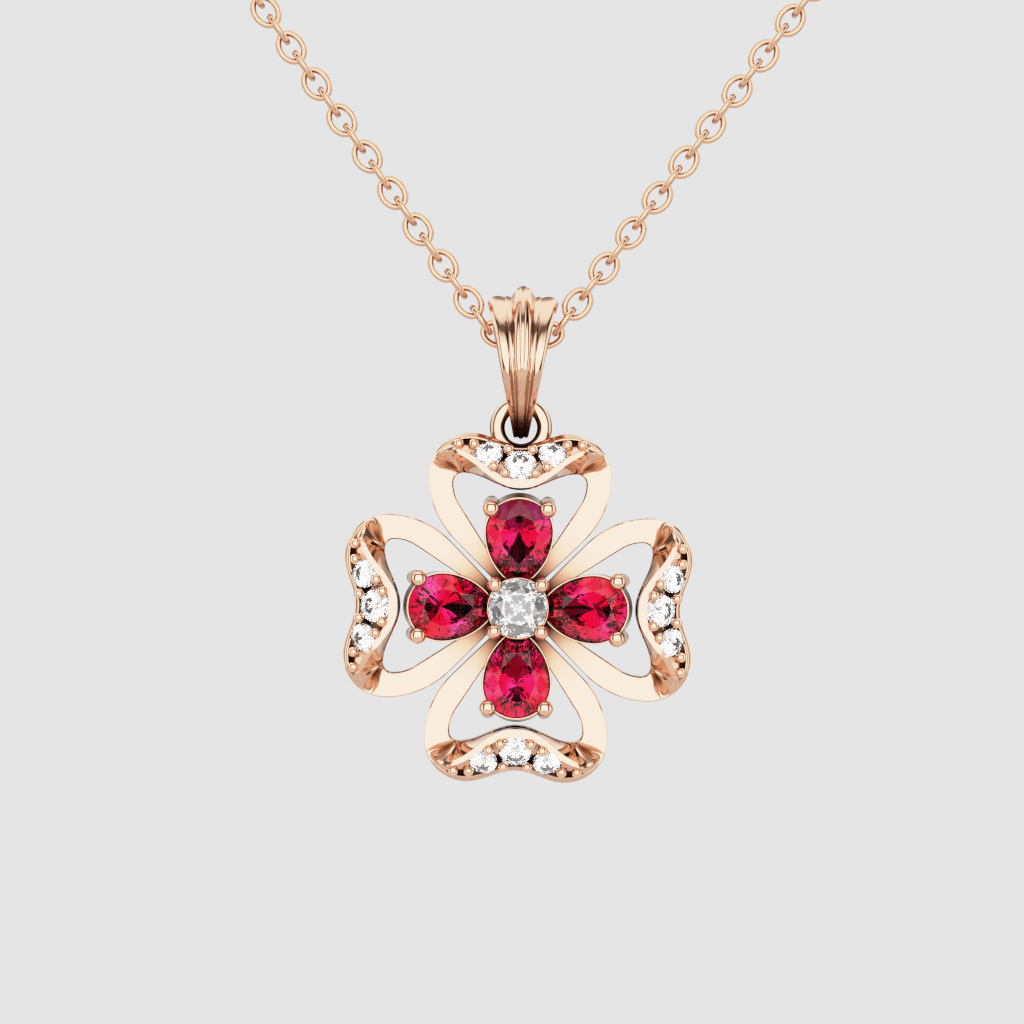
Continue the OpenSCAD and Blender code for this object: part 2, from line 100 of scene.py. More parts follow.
# Settings
PEAR_LEN = 4.0
PEAR_W = 3.0
PEAR_V = 3.53
PEAR_RISE = 0.98
PEAR_FOOT = PEAR_RISE + BAND_T / 2
PEAR_TILT = 9
COLLET_WALL = 0.12
COLLET_LEDGE = 0.4
COLLET_LIP = 0.1
COLLET_EDGE = 0.025
LEDGE_ROOM = 0.1
PRONG_D = 0.78
PRONG_STEM_D = 0.74
CENTRE_PRONG_D = 0.71
PRONG_OUT = 1.7
PRONG_ANGLE = 50
PRONG_RISE = 0.24
CENTRE_D = 2.7
CENTRE_RISE = 1.05
CENTRE_PRONG = 1.08
CENTRE_PRONG_STEP = 0.02
PLATE_SINK = 0.01
PIT_R = 0.05
PIT_ROOM = 0.08
PLATE_SEAT_ROOM = 0.06
RIM_GAP = 0.012
RIM_OUTER = 0.075
RIM_EDGE = 0.02
RIM_LOW = -0.10
RIM_HIGH = 0.07
STONE_GAP = 0.03

# Stones: heights as shares of their width, and places as shares of the way to their edge
CROWN = 0.165
PAVILION = 0.45
GIRDLE = 0.02
TABLE = 0.57
STAR = 0.5
PAVILION_MAIN = 0.24
MAIN_FACETS = 8
EDGE_STEPS = 32

# Ring, bail and chain
RING_D = 2.9
RING_WIRE = 0.7
RING_V = 8.37
BAIL_INNER_R = 1.38
BAIL_BELLY = 2.3
BAIL_WALL = 0.43
BAIL_DROP = 4.8
BAIL_TOP_W = 1.66
BAIL_TIP_W = 0.36
RIDGE_H = 0.48
HINGE_DROP = 3.2
LINK_LEN = 1.71
LINK_W = 1.34
LINK_WIRE = 0.28
LINK_PITCH = 1.0307
FIRST_LINK = 1.14
LINK_REACH = 0.3
V_ANGLE = math.radians(35.9)
NECK_R = 63
TURN_R = 12
BAIL_SPAN = 1.45
BEND_R = 1.2
CLASP_REACH = 5.3

# Steps round and along the curved forms, then a link's steps along and round its wire, and how many
# links of each side are fine ones
ROUND_STEPS = 96
BALL_STEPS = 14
SIDE_STEPS = 16
BEND_STEPS = 6
LEG_STEPS = 8
ROOT_STEPS = 6
SLOPE_STEPS = 12
LIP_STEPS = 4
FLOOR_STEPS = 18
OUTER_STEPS = 6
WIRE_STEPS = 36
BAIL_STEPS = 5
MIDDLE_STEPS = 6
CORNER_STEPS = 24
RUN_STEPS = 60
TURN_STEPS = 40
ARC_STEPS = 200
FINE_LINK = (40, 14)
PLAIN_LINK = (24, 8)
FRONT_LINKS = 34

# The photograph's camera, in millimetres and pixels
LENS = 85
SENSOR = 36
IMAGE = 1024
CLOVER_PX = (517.8, 607.5)
SCALE_PX = 21.5
ROLL = math.radians(1.0)


def turned(angle, axis):
    return Matrix.Rotation(math.radians(angle), 4, axis)


def moved(x, y, z):
    return Matrix.Translation((x, y, z))


def axes_place(x, y, z, at):
    return moved(*at) @ Matrix((x, y, z)).transposed().to_4x4()


def round_angles(steps):
    return [WHOLE_TURN * i / steps for i in range(steps)]


def petal_place(k):
    """From a petal's own millimetres, petal upwards, to the row's metres."""
    return moved(*CLOVER) @ Matrix.Scale(MM, 4) @ turned(90 * k, "Y")


def smooth_share(t):
    """A smooth rise from 0, at t up to 0, to 1, at t from 1 on."""
    return (1 - math.cos(math.pi * max(0.0, min(1.0, t)))) / 2


def smooth_table(rows, column, x):
    """A smooth curve through a table's rows, whose first column holds the places, mirrored at 0."""
    places = np.array([row[0] for row in rows])
    values = np.array([row[column] for row in rows])
    places = np.concatenate([-places[:0:-1], places])
    values = np.concatenate([values[:0:-1], values])
    slopes = np.gradient(values, places)
    i = int(np.clip(np.searchsorted(places, x) - 1, 0, len(places) - 2))
    h = places[i + 1] - places[i]
    s = (x - places[i]) / h
    return float(
        values[i] * (1 + 2 * s) * (1 - s) ** 2
        + slopes[i] * h * s * (1 - s) ** 2
        + values[i + 1] * s * s * (3 - 2 * s)
        - slopes[i + 1] * h * s * s * (1 - s)
    )


class Shape:
    """Points and faces gathered from several parts, before they become one mesh."""

    def __init__(self):
        self.points = []
        self.faces = []

    def add(self, points, faces, place=Matrix.Identity(4)):
        start = len(self.points)
        self.points += [place @ Vector(p) for p in points]
        self.faces += [[start + i for i in face] for face in faces]

    def object(self, name, material, body, slot, crease=35):
        """Makes them one piece that rides on a body. Edges sharper than the crease stay sharp, and a
        crease of 0 leaves every facet flat."""
        mesh = bpy.data.meshes.new(name)
        mesh.from_pydata([tuple(p) for p in self.points], [], self.faces)
        work = bmesh.new()
        work.from_mesh(mesh)
        bmesh.ops.remove_doubles(work, verts=work.verts, dist=MERGE)
        bmesh.ops.dissolve_degenerate(work, edges=work.edges, dist=MERGE)
        bmesh.ops.recalc_face_normals(work, faces=work.faces)
        work.to_mesh(mesh)
        work.free()
        if crease:
            mesh.shade_smooth()
            mesh.set_sharp_from_angle(angle=math.radians(crease))
        mesh.materials.append(material)
        piece = bpy.data.objects.new(name, mesh)
        bpy.context.scene.collection.objects.link(piece)
        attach(piece, body)
        return piece


def strip_faces(rows, row_len, closed_rows=True, closed_row=True):
    """Quads between neighbouring rows of equally many points."""
    faces = []
    for i in range(rows if closed_rows else rows - 1):
        here, on = i * row_len, (i + 1) % rows * row_len
        for j in range(row_len if closed_row else row_len - 1):
            after = (j + 1) % row_len
            faces.append([here + j, here + after, on + after, on + j])
    return faces


def lathe(profile, steps, closed=False):
    """Points and faces of a profile of (radius, height) pairs turned about +Z."""
    points = [(r * math.cos(a), r * math.sin(a), z) for a in round_angles(steps) for r, z in profile]
    return points, strip_faces(steps, len(profile), closed_row=closed)


def rounded_post(ball_r, stem_r, foot, steps=48):
    """A round post along +Z with a ball at the origin for its tip."""
    neck = math.acos(stem_r / ball_r)
    arc = [-neck + (math.pi / 2 + neck) * i / BALL_STEPS for i in range(BALL_STEPS + 1)]
    profile = [(0, -foot), (stem_r, -foot)]
    profile += [(ball_r * math.cos(a), ball_r * math.sin(a)) for a in arc]
    return lathe(profile, steps)


# Petal outlines, as distances across and along the petal
LOBE_U = PETAL_HALF_W - LOBE_R
LOBE_V = PETAL_REACH - LOBE_R
SLIT_SHIFT = SLIT_W / math.sqrt(2)
SIDE_R = (LOBE_V - PETAL_HALF_W - SLIT_SHIFT) / (math.sqrt(2) - 1)
HOLE_U = PETAL_HALF_W - BAND_W
HOLE_V = PETAL_REACH - SHOULDER_W
CORNER_U = HOLE_U - HOLE_CORNER_R
CORNER_V = HOLE_V - HOLE_CORNER_R
HOLE_LINE = np.array([
    HOLE_U - HOLE_SIDE_R * (1 - math.cos(HOLE_HALF_ANGLE)),
    CORNER_V - HOLE_SIDE_R * math.sin(HOLE_HALF_ANGLE),
])
HOLE_TIP = np.array([0, HOLE_LINE[1] - HOLE_LINE[0] / math.tan(HOLE_HALF_ANGLE)])


def arc_point(u, v, r, angle):
    return np.array([u + r * math.cos(angle), v + r * math.sin(angle)])


def corner_angle(s, start):
    """Direction from a round corner's middle at station s, past the station where the corner starts."""
    if s > 1:
        return CREASE_ANGLE * (1 - (s - 1) / CREASE_SPAN)
    return math.pi / 2 - (math.pi / 2 - CREASE_ANGLE) * ((s - start) / (1 - start))


def edge_points(t):
    """The points of the opening's edge and of the outer edge at the rim's station t. The rim runs from
    -1 to 1, and the band goes on past the crease at 1 to the level of the corners' middles."""
    s, side = abs(t), np.array([-1 if t < 0 else 1, 1])
    if s <= LOBE_SHARE:
        dip = DIP_DEPTH * (1 - smooth_share(s / LOBE_SHARE))
        outer = np.array([LOBE_U * s / LOBE_SHARE, PETAL_REACH - dip])
    else:
        outer = arc_point(LOBE_U, LOBE_V, LOBE_R, corner_angle(s, LOBE_SHARE))
    if s <= CORNER_SHARE:
        dip = HOLE_DIP * (1 - smooth_share(s / CORNER_SHARE))
        inner = np.array([CORNER_U * s / CORNER_SHARE, HOLE_V - dip])
    else:
        inner = arc_point(CORNER_U, CORNER_V, HOLE_CORNER_R, corner_angle(s, CORNER_SHARE))
    return inner * side, outer * side


def between(a, b, steps):
    return [a + (b - a) * i / steps for i in range(1, steps + 1)]


def band_points():
    """Pairs of inner and outer points down a petal's right side, from the lobe to the root.
    After the opening's tip the inner points run down the petal's middle line."""
    pairs = []
    for i in range(1, SIDE_STEPS + 1):
        angle = -HOLE_HALF_ANGLE * i / SIDE_STEPS
        pairs.append((
            arc_point(HOLE_U - HOLE_SIDE_R, CORNER_V, HOLE_SIDE_R, angle),
            arc_point(PETAL_HALF_W - SIDE_R, LOBE_V, SIDE_R, angle),
        ))
    foot_u = (HOLE_TIP[1] - SLIT_SHIFT) / 2
    foot = np.array([foot_u, foot_u + SLIT_SHIFT])
    bend = math.pi / 4 - HOLE_HALF_ANGLE
    bends = [
        arc_point(PETAL_HALF_W - SIDE_R, LOBE_V, SIDE_R, -HOLE_HALF_ANGLE - bend * i / BEND_STEPS)
        for i in range(1, BEND_STEPS + 1)
    ]
    outer = bends + between(bends[-1], foot, LEG_STEPS)
    pairs += list(zip(between(HOLE_LINE, HOLE_TIP, len(outer)), outer))
    root = np.array([PETAL_ROOT, PETAL_ROOT + SLIT_SHIFT])
    middle = np.array([0, PETAL_ROOT + SLIT_SHIFT])
    low = list(zip(between(HOLE_TIP, middle, ROOT_STEPS), between(foot, root, ROOT_STEPS)))
    return pairs, low


# Sections of the rim. Columns: station, inner edge of the lip, outer edge of the lip, outer edge of
# the channel, all as shares of the rim's width, and the lip's height and the channel's outer height
# as shares of LIP_H.
RIM_ROWS = [
    [0.00, 0.02, 0.21, 0.92, 1.00, 0.22],
    [0.25, 0.03, 0.22, 0.91, 1.00, 0.20],
    [0.42, 0.12, 0.31, 0.89, 0.97, 0.20],
    [0.58, 0.33, 0.51, 0.89, 0.86, 0.20],
    [0.68, 0.50, 0.64, 0.90, 0.74, 0.16],
    [0.78, 0.66, 0.71, 0.92, 0.56, 0.08],
    [0.89, 0.82, 0.845, 0.95, 0.30, 0.02],
    [1.00, 0.86, 0.88, 0.96, 0.00, 0.00],
]
CHANNEL_END = 0.74
CHANNEL_FADE = 0.1
LIP_EDGE = 0.015
SLOPE_BULGE = 0.35
GROOVE_DEPTH = 0.24
GROOVE_START = 0.4
GROOVE_SPAN = 0.45


def front_profile(t):
    """Shares across the rim and heights in front of the band, from the opening to the outer edge: the
    inner slope, the lip, the channel's floor with the groove for the stones, and the outer slope."""
    lip_in, lip_out, floor_out, top, low = (
        smooth_table(RIM_ROWS, column, min(abs(t), 1)) for column in range(1, 6)
    )
    if abs(t) >= 1:
        top = low = 0
    top, low = LIP_H * top, LIP_H * low
    floor_in = lip_out + LIP_EDGE
    channel = 1 - smooth_share((abs(t) - CHANNEL_END + CHANNEL_FADE) / CHANNEL_FADE)
    floor_top = max(low, top - CHANNEL_STEP * channel)
    groove = GROOVE_DEPTH * channel
    rows = []
    for i in range(SLOPE_STEPS):
        s = i / SLOPE_STEPS
        rows.append((lip_in * s, top * ((1 + SLOPE_BULGE) * s - SLOPE_BULGE * s * s)))
    for i in range(LIP_STEPS + 1):
        rows.append((lip_in + (lip_out - lip_in) * i / LIP_STEPS, top))
    for i in range(FLOOR_STEPS):
        s = i / FLOOR_STEPS
        sunk = groove * smooth_share((s - GROOVE_START) / GROOVE_SPAN)
        height = floor_top + (low - floor_top) * s ** (2 - channel) - sunk
        rows.append((floor_in + (floor_out - floor_in) * s, height))
    for i in range(OUTER_STEPS + 1):
        s = i / OUTER_STEPS
        rows.append((floor_out + (1 - floor_out) * s, low * (1 - s * s)))
    return rows


# Small stones of a petal. Columns: across, along, turn, width, height in front of its middle plane.
ACCENTS = {
    "left": (-ACCENT_SIDE_U, ACCENT_SIDE_V, -ACCENT_TURN, ACCENT_SIDE_D, ACCENT_SIDE_RISE),
    "mid": (0, ACCENT_MID_V, 0, ACCENT_MID_D, ACCENT_MID_RISE),
    "right": (ACCENT_SIDE_U, ACCENT_SIDE_V, ACCENT_TURN, ACCENT_SIDE_D, ACCENT_SIDE_RISE),
}
SEAT_GAP = 0.015
SEAT_OUTSIDE = 0.035
SEAT_INSIDE = 0.04
SEAT_REACH = 1
SEAT_SINK = 0.25
SEAT_ROOM = 0.1


def accent_place(name):
    u, v, turn, _, rise = ACCENTS[name]
    return moved(u, -rise, v) @ turned(turn, "Y") @ turned(90 - ACCENT_TILT, "X")


def cut_seats(points):
    """Sinks the rim's front points under each small stone below its pavilion, and draws those near the
    stone's edge on to a circle just outside it."""
    for name, (*_, width, _) in ACCENTS.items():
        place = accent_place(name)
        away = place.inverted()
        edge = width / 2 + SEAT_GAP
        for i, point in enumerate(points):
            local = away @ Vector(point)
            reach = math.hypot(local.x, local.y)
            if reach > edge + SEAT_OUTSIDE or abs(local.z) > SEAT_REACH:
                continue
            if reach > edge - SEAT_INSIDE:
                local.x *= edge / reach
                local.y *= edge / reach
            else:
                local.z = -SEAT_SINK - (PAVILION * width + SEAT_ROOM) * (1 - reach / edge)
            points[i] = tuple(place @ local)
    return points


# Where the rim leaves its band. Spans are stations, and a skew draws a form to one side.
VALLEY_START = 0.6
VALLEY_BACK = 0.20
VALLEY_BEND = 1.5
VALLEY_EDGE = 0.02
VALLEY_DEPTH = 0.21
VALLEY_SKEW = 0.8
WEDGE = 0.055
WEDGE_END = 0.003
BLUNT_SHARE = 0.6
BLUNT_SPAN = 0.4
RISE_SPAN = 0.12
RIBBON_SPAN = 0.2
RIBBON_BULGE = 0.09
RIBBON_SKEW = 0.6
CREASE_START = 0.5
SEATS_END = 0.95


def drawn_back(t, share):
    """The station t, drawn back near the crease so that the crease runs in a curve from the outline to
    further round the opening's corner."""
    s = abs(t)
    if s < 1:
        near = smooth_share((s - VALLEY_START) / (1 - VALLEY_START))
    else:
        near = smooth_share((1 + CREASE_SPAN - s) / CREASE_SPAN)
    return math.copysign(s - VALLEY_BACK * (1 - share) ** VALLEY_BEND * near, t)


def crease_height(station, share, height):
    """Height where the rim leaves its band: the band ends in an edge that falls into a valley, and the
    rim rises from the valley in a rounded ribbon. Stations over 1 lie on the band."""
    depth = VALLEY_EDGE + VALLEY_DEPTH * math.sin(math.pi * share ** VALLEY_SKEW)
    if station >= 1:
        wedge = WEDGE_END + WEDGE * (1 - share ** 3)
        blunt = 1 + smooth_share((BLUNT_SHARE - share) / BLUNT_SPAN)
        return -depth * max(0, 1 - (station - 1) / wedge) ** blunt
    back = 1 - station
    rise = smooth_share(back / RISE_SPAN)
    along = math.sin(math.pi * min(1, back / RIBBON_SPAN))
    ribbon = RIBBON_BULGE * along * math.sin(math.pi * share ** RIBBON_SKEW)
    return height * rise - depth * (1 - rise) + ribbon


# Stations from the crease to the petal's middle line, closest near the crease. Columns: first station,
# step and number of stations.
STATION_RUNS = [(1 + CREASE_SPAN, 0.012, 6), (1.068, 0.004, 18), (0.996, 0.005, 27), (0.86, 0.01, 87)]


def petal_shape(shape, place):
    """One petal: a bevelled band round its opening, whose outer end rises into the stone rim."""
    sides, low = band_points()
    half = [(*pair, False) for pair in sides] + [(*pair, True) for pair in low]
    stations = [first - step * i for first, step, count in STATION_RUNS for i in range(count)]
    stations += [-t for t in reversed(stations[:-1])]

    rows = []

    def bevels(inner, outer, solid):
        """The way across from the inner to the outer edge, and the width between the bevels."""
        width = np.linalg.norm(outer - inner)
        return (outer - inner) / width, width - EDGE_BEVEL * (1 if solid else 2)

    def add_row(front, inner, outer, way_in, way_out, bevel_in):
        back_out, back_in = outer - way_out * EDGE_BEVEL, inner + way_in * bevel_in
        rows.append([
            (inner[0], BAND_T / 2 - bevel_in, inner[1]),
            (inner[0], front[0][1] + bevel_in, inner[1]),
            *front,
            (outer[0], front[-1][1] + EDGE_BEVEL, outer[1]),
            (outer[0], BAND_T / 2 - EDGE_BEVEL, outer[1]),
            (back_out[0], BAND_T / 2, back_out[1]),
            (back_in[0], BAND_T / 2, back_in[1]),
        ])

    def band_row(inner, outer, solid):
        """A row across the band. A solid one starts at the petal's middle line, without a bevel."""
        way, usable = bevels(inner, outer, solid)
        bevel_in = 0 if solid else EDGE_BEVEL
        across = [inner + way * (bevel_in + usable * share) for share, _ in front_profile(1)]
        add_row([(u, -BAND_T / 2, v) for u, v in across], inner, outer, way, way, bevel_in)

    def rim_row(t):
        front = []
        for share, height in front_profile(t):
            inner, outer = edge_points(drawn_back(t, share))
            way, usable = bevels(inner, outer, False)
            u, v = inner + way * (EDGE_BEVEL + usable * share)
            if abs(t) > CREASE_START:
                height = crease_height(abs(t), share, height)
            front.append((u, -BAND_T / 2 - height, v))
        if abs(t) < SEATS_END:
            front = cut_seats(front)
        first, last = edge_points(drawn_back(t, 0)), edge_points(t)
        way_in, way_out = bevels(*first, False)[0], bevels(*last, False)[0]
        add_row(front, first[0], last[1], way_in, way_out, EDGE_BEVEL)

    flip = np.array([-1, 1])
    for inner, outer, solid in reversed(half):
        band_row(inner * flip, outer * flip, solid)
    for t in reversed(stations):
        rim_row(t)
    for inner, outer, solid in half:
        band_row(inner, outer, solid)
    row_len, faces = len(rows[0]), []
    for index, face in enumerate(strip_faces(len(rows), row_len, closed_rows=False)):
        i, j = divmod(index, row_len)
        in_root = i < len(low) or i >= len(rows) - 1 - len(low)
        if not (in_root and j in (0, 1, row_len - 1)):
            faces.append(face)
    shape.add([point for row in rows for point in row], faces, place)


# Beads on each half of a petal. Columns: across, along, and height above the band as a share of LIP_H.
BEADS = [
    (2.85, 7.55, 0.42),
    (2.15, 7.55, 0.48),
    (0.55, 7.33, 0.66),
    (1.23, 6.53, 1.04),
    (0.70, 6.24, 1.12),
]
BEAD_FOOT = 1


def bead_shape(shape, place):
    points, faces = rounded_post(BEAD_D / 2, BEAD_STEM_D / 2, BEAD_FOOT, steps=32)
    for side in (-1, 1):
        for u, v, height in BEADS:
            at = moved(side * u, -BAND_T / 2 - height * LIP_H, v) @ turned(90, "X")
            shape.add(points, faces, place @ at)


def pear_outline(angle, grow=0):
    """Distance of a pear stone's edge from the middle of its round end. Its point is at -90 degrees."""
    r = PEAR_W / 2
    if math.sin(angle) >= 0:
        return r + grow
    tail = PEAR_LEN - r
    big = (tail * tail + r * r) / (2 * r)
    shift = big - r
    aside = abs(math.cos(angle)) * shift
    return math.sqrt(aside ** 2 - shift * shift + (big + grow) ** 2) - aside


def pear_place():
    return moved(0, -PEAR_RISE, PEAR_V) @ turned(90 + PEAR_TILT, "X")


def pear_ring(grow, height):
    angles = [a - math.pi / 2 for a in round_angles(ROUND_STEPS)]
    return [(*arc_point(0, 0, pear_outline(a, grow), a), height) for a in angles]


def collet_shape(shape, place):
    """The wall round a pear stone, with a rounded upper edge, a sloping ledge and an open back."""
    rings = [
        (COLLET_WALL, -PEAR_FOOT), (COLLET_WALL, COLLET_LIP - COLLET_EDGE),
        (COLLET_WALL - COLLET_EDGE, COLLET_LIP), (STONE_GAP + COLLET_EDGE, COLLET_LIP),
        (STONE_GAP, COLLET_LIP - COLLET_EDGE), (STONE_GAP, -GIRDLE * PEAR_W - STONE_GAP),
        (-COLLET_LEDGE, -2 * COLLET_LEDGE * PAVILION - LEDGE_ROOM), (-COLLET_LEDGE, -PEAR_FOOT),
    ]
    points = [p for grow, height in rings for p in pear_ring(grow, height)]
    shape.add(points, strip_faces(len(rings), ROUND_STEPS), place @ pear_place())


def prong_shapes(shape, place):
    points, faces = rounded_post(PRONG_D / 2, PRONG_STEM_D / 2, PEAR_FOOT + PRONG_RISE)
    for side in (-1, 1):
        at = pear_place() @ turned(side * PRONG_ANGLE, "Z") @ moved(0, PRONG_OUT, PRONG_RISE)
        shape.add(points, faces, place @ at)


def centre_shape(metal, shape):
    """The plate behind the centre stone, with its seat, and the four centre prongs. The plate lies a
    little below the petals' faces, so that no two faces share a plane."""
    place = petal_place(0)
    flat = BAND_T / 2 - PLATE_SINK
    depth = PAVILION * CENTRE_D
    pit = depth - CENTRE_RISE + PIT_ROOM
    seat = CENTRE_D / 2 * (1 - (CENTRE_RISE - BAND_T / 2) / depth) + PLATE_SEAT_ROOM
    profile = [
        (0, flat), (HUB_R - EDGE_BEVEL, flat), (HUB_R, flat - EDGE_BEVEL), (HUB_R, -flat + EDGE_BEVEL),
        (HUB_R - EDGE_BEVEL, -flat), (seat, -flat), (PIT_R, pit), (0, pit),
    ]
    points, faces = lathe([(r, -y) for r, y in profile], ROUND_STEPS)
    metal.add(points, faces, place @ turned(90, "X"))
    ball_r = CENTRE_PRONG_D / 2
    points, faces = rounded_post(ball_r, ball_r - CENTRE_PRONG_STEP, CENTRE_RISE + PRONG_RISE)
    for x in (-1, 1):
        for z in (-1, 1):
            at = moved(x * CENTRE_PRONG, -CENTRE_RISE - PRONG_RISE, z * CENTRE_PRONG) @ turned(90, "X")
            shape.add(points, faces, place @ at)


def centre_place():
    return petal_place(0) @ moved(0, -CENTRE_RISE, 0) @ turned(90, "X")


def centre_rim(shape):
    """The thin rim round the centre stone's edge."""
    inner, outer = CENTRE_D / 2 + RIM_GAP, CENTRE_D / 2 + RIM_OUTER
    profile = [
        (inner, RIM_LOW), (outer, RIM_LOW), (outer, RIM_HIGH - RIM_EDGE), (outer - RIM_EDGE, RIM_HIGH),
        (inner + RIM_EDGE, RIM_HIGH), (inner, RIM_HIGH - RIM_EDGE),
    ]
    shape.add(*lathe(profile, ROUND_STEPS, closed=True), centre_place())


def round_outline(width):
    return lambda angle: width / 2


def brilliant(width, outline):
    """Points and faces of a brilliant cut: a table, stars, kites, a thin edge, and a pavilion whose
    main facets meet in a point. The outline gives the edge's distance at an angle."""
    crown, girdle, pavilion = CROWN * width, GIRDLE * width, PAVILION * width
    middle = math.cos(WHOLE_TURN / MAIN_FACETS / 2)
    star_r = TABLE * middle + STAR * (1 - TABLE * middle)
    crown_slope = (crown - girdle) / (1 - TABLE)
    star_z = crown - (star_r * middle - TABLE) * crown_slope
    main_z = -pavilion + PAVILION_MAIN * middle * (pavilion - girdle)
    points, faces = [], []

    def ring(count, share, height, shift=0):
        start = len(points)
        for i in range(count):
            angle = WHOLE_TURN * (i + shift) / count - math.pi / 2
            points.append((*arc_point(0, 0, share * outline(angle), angle), height))
        return start

    table = ring(MAIN_FACETS, TABLE, crown)
    star = ring(MAIN_FACETS, star_r, star_z, 0.5)
    top_edge = ring(EDGE_STEPS, 1, girdle)
    low_edge = ring(EDGE_STEPS, 1, -girdle)
    main = ring(MAIN_FACETS, PAVILION_MAIN, main_z, 0.5)
    culet = len(points)
    points.append((0, 0, -pavilion))
    faces.append(list(range(table, table + MAIN_FACETS)))
    span = EDGE_STEPS // MAIN_FACETS
    for k in range(MAIN_FACETS):
        after, before = (k + 1) % MAIN_FACETS, (k - 1) % MAIN_FACETS
        at, half_way, beyond = span * k, span * k + span // 2, span * (k + 1) % EDGE_STEPS
        faces += [
            [table + k, table + after, star + k],
            [table + k, star + before, top_edge + at],
            [table + k, top_edge + at, star + k],
            [culet, main + k, low_edge + at],
            [culet, low_edge + at, main + before],
        ]
        for first, last in ((at, half_way), (half_way, beyond)):
            mid = first + 1
            faces += [
                [star + k, top_edge + first, top_edge + mid],
                [star + k, top_edge + mid, top_edge + last],
                [main + k, low_edge + first, low_edge + mid],
                [main + k, low_edge + mid, low_edge + last],
            ]
    for i in range(EDGE_STEPS):
        on = (i + 1) % EDGE_STEPS
        faces.append([top_edge + i, top_edge + on, low_edge + on, low_edge + i])
    return points, faces


def make_stone(name, node, width, outline, place, materials, slot):
    """A cut stone that stands for a node. Its first material is its body's, and its second its table's,
    which is the one face with as many corners as there are main facets."""
    shape = Shape()
    shape.add(*brilliant(width, outline), place)
    stone = shape.object(name, materials[0], "clover", slot, crease=0)
    stone.data.materials.append(materials[1])
    for polygon in stone.data.polygons:
        polygon.material_index = int(len(polygon.vertices) == MAIN_FACETS)
    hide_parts(node)


# The bail seen from the side, from the top to the tip. Columns: depth and height of its outer face,
# and of its inner face. Depths are shares of the belly's. Heights above the axis are shares of the outer
# and inner radius of the top, and heights below it are shares of the drop to the tip.
BAIL_ROWS = [
    [0.00, 0.995, 0.00, 1.000],
    [0.13, 0.975, 0.11, 0.991],
    [0.24, 0.909, 0.20, 0.964],
    [0.34, 0.818, 0.31, 0.911],
    [0.43, 0.701, 0.43, 0.817],
    [0.55, 0.521, 0.58, 0.614],
    [0.67, 0.323, 0.69, 0.359],
    [0.77, 0.117, 0.75, 0.087],
    [0.85, -0.036, 0.85, -0.044],
    [0.92, -0.120, 0.92, -0.122],
    [0.98, -0.217, 0.98, -0.213],
    [1.00, -0.294, 1.00, -0.281],
    [0.98, -0.381, 0.98, -0.378],
    [0.92, -0.458, 0.92, -0.476],
    [0.83, -0.527, 0.82, -0.570],
    [0.70, -0.599, 0.68, -0.676],
    [0.56, -0.686, 0.51, -0.803],
    [0.40, -0.778, 0.36, -0.912],
    [0.26, -0.866, 0.25, -0.963],
    [0.14, -0.938, 0.13, -0.989],
    [0.04, -0.990, 0.04, -0.999],
]

# Across the bail's outer face. Columns: place as a share of the half width, depth as a share of the
# wall, and the share of the middle ridge's height added to it.
BAIL_ACROSS = [
    [0.00, 1.00, 1.00], [0.03, 1.00, 1.00], [0.055, 0.99, 0.99], [0.075, 0.95, 0.97],
    [0.095, 0.88, 0.94], [0.12, 0.87, 0.90], [0.15, 0.91, 0.83], [0.18, 0.94, 0.74],
    [0.21, 0.95, 0.63], [0.24, 0.94, 0.50], [0.27, 0.90, 0.36], [0.30, 0.84, 0.22],
    [0.325, 0.77, 0.11], [0.345, 0.73, 0.04], [0.365, 0.80, 0.01], [0.39, 0.90, 0.00],
    [0.42, 0.96, 0.00], [0.45, 0.97, 0.00], [0.48, 0.93, 0.00], [0.50, 0.84, 0.00],
    [0.52, 0.74, 0.00], [0.54, 0.73, 0.00], [0.57, 0.82, 0.00], [0.61, 0.91, 0.00],
    [0.66, 0.98, 0.00], [0.72, 1.00, 0.00], [0.78, 0.985, 0.00], [0.83, 0.93, 0.00],
    [0.88, 0.82, 0.00], [0.92, 0.69, 0.00], [0.955, 0.52, 0.00], [0.985, 0.36, 0.00],
    [1.00, 0.24, 0.00],
]
# Across its inner face, from right to left. Columns: the same place, and height over the inner face as a
# share of the wall.
BAIL_INNER = [
    [0.985, 0.14], [0.94, 0.04], [0.84, 0.00], [0.45, 0.00],
    [-0.45, 0.00], [-0.84, 0.00], [-0.94, 0.04], [-0.985, 0.14],
]
BAIL_ROOM = 0.2
RIDGE_END = 0.12
RIDGE_FALL = 1.6
FLUTE_LIMIT = 1.1
FLUTE_AT_TIP = 0.2
FLUTE_AT_TOP = 0.5
TOP_START = 0.8
TOP_SPAN = 0.15
SIDE_START = 0.75
FLUTES = 7
FLUTE_WAVE = 0.06


def closed_curve(controls, steps):
    """A smooth closed curve through the controls, with the given steps between two of them."""
    controls = np.array(controls, float)
    before, after, beyond = (np.roll(controls, n, axis=0) for n in (1, -1, -2))
    rows = []
    for p0, p1, p2, p3 in zip(before, controls, after, beyond):
        for i in range(steps):
            s = i / steps
            rows.append(0.5 * (
                2 * p1 + (p2 - p0) * s + (2 * p0 - 5 * p1 + 4 * p2 - p3) * s * s
                + (3 * p1 - p0 - 3 * p2 + p3) * s ** 3
            ))
    return rows


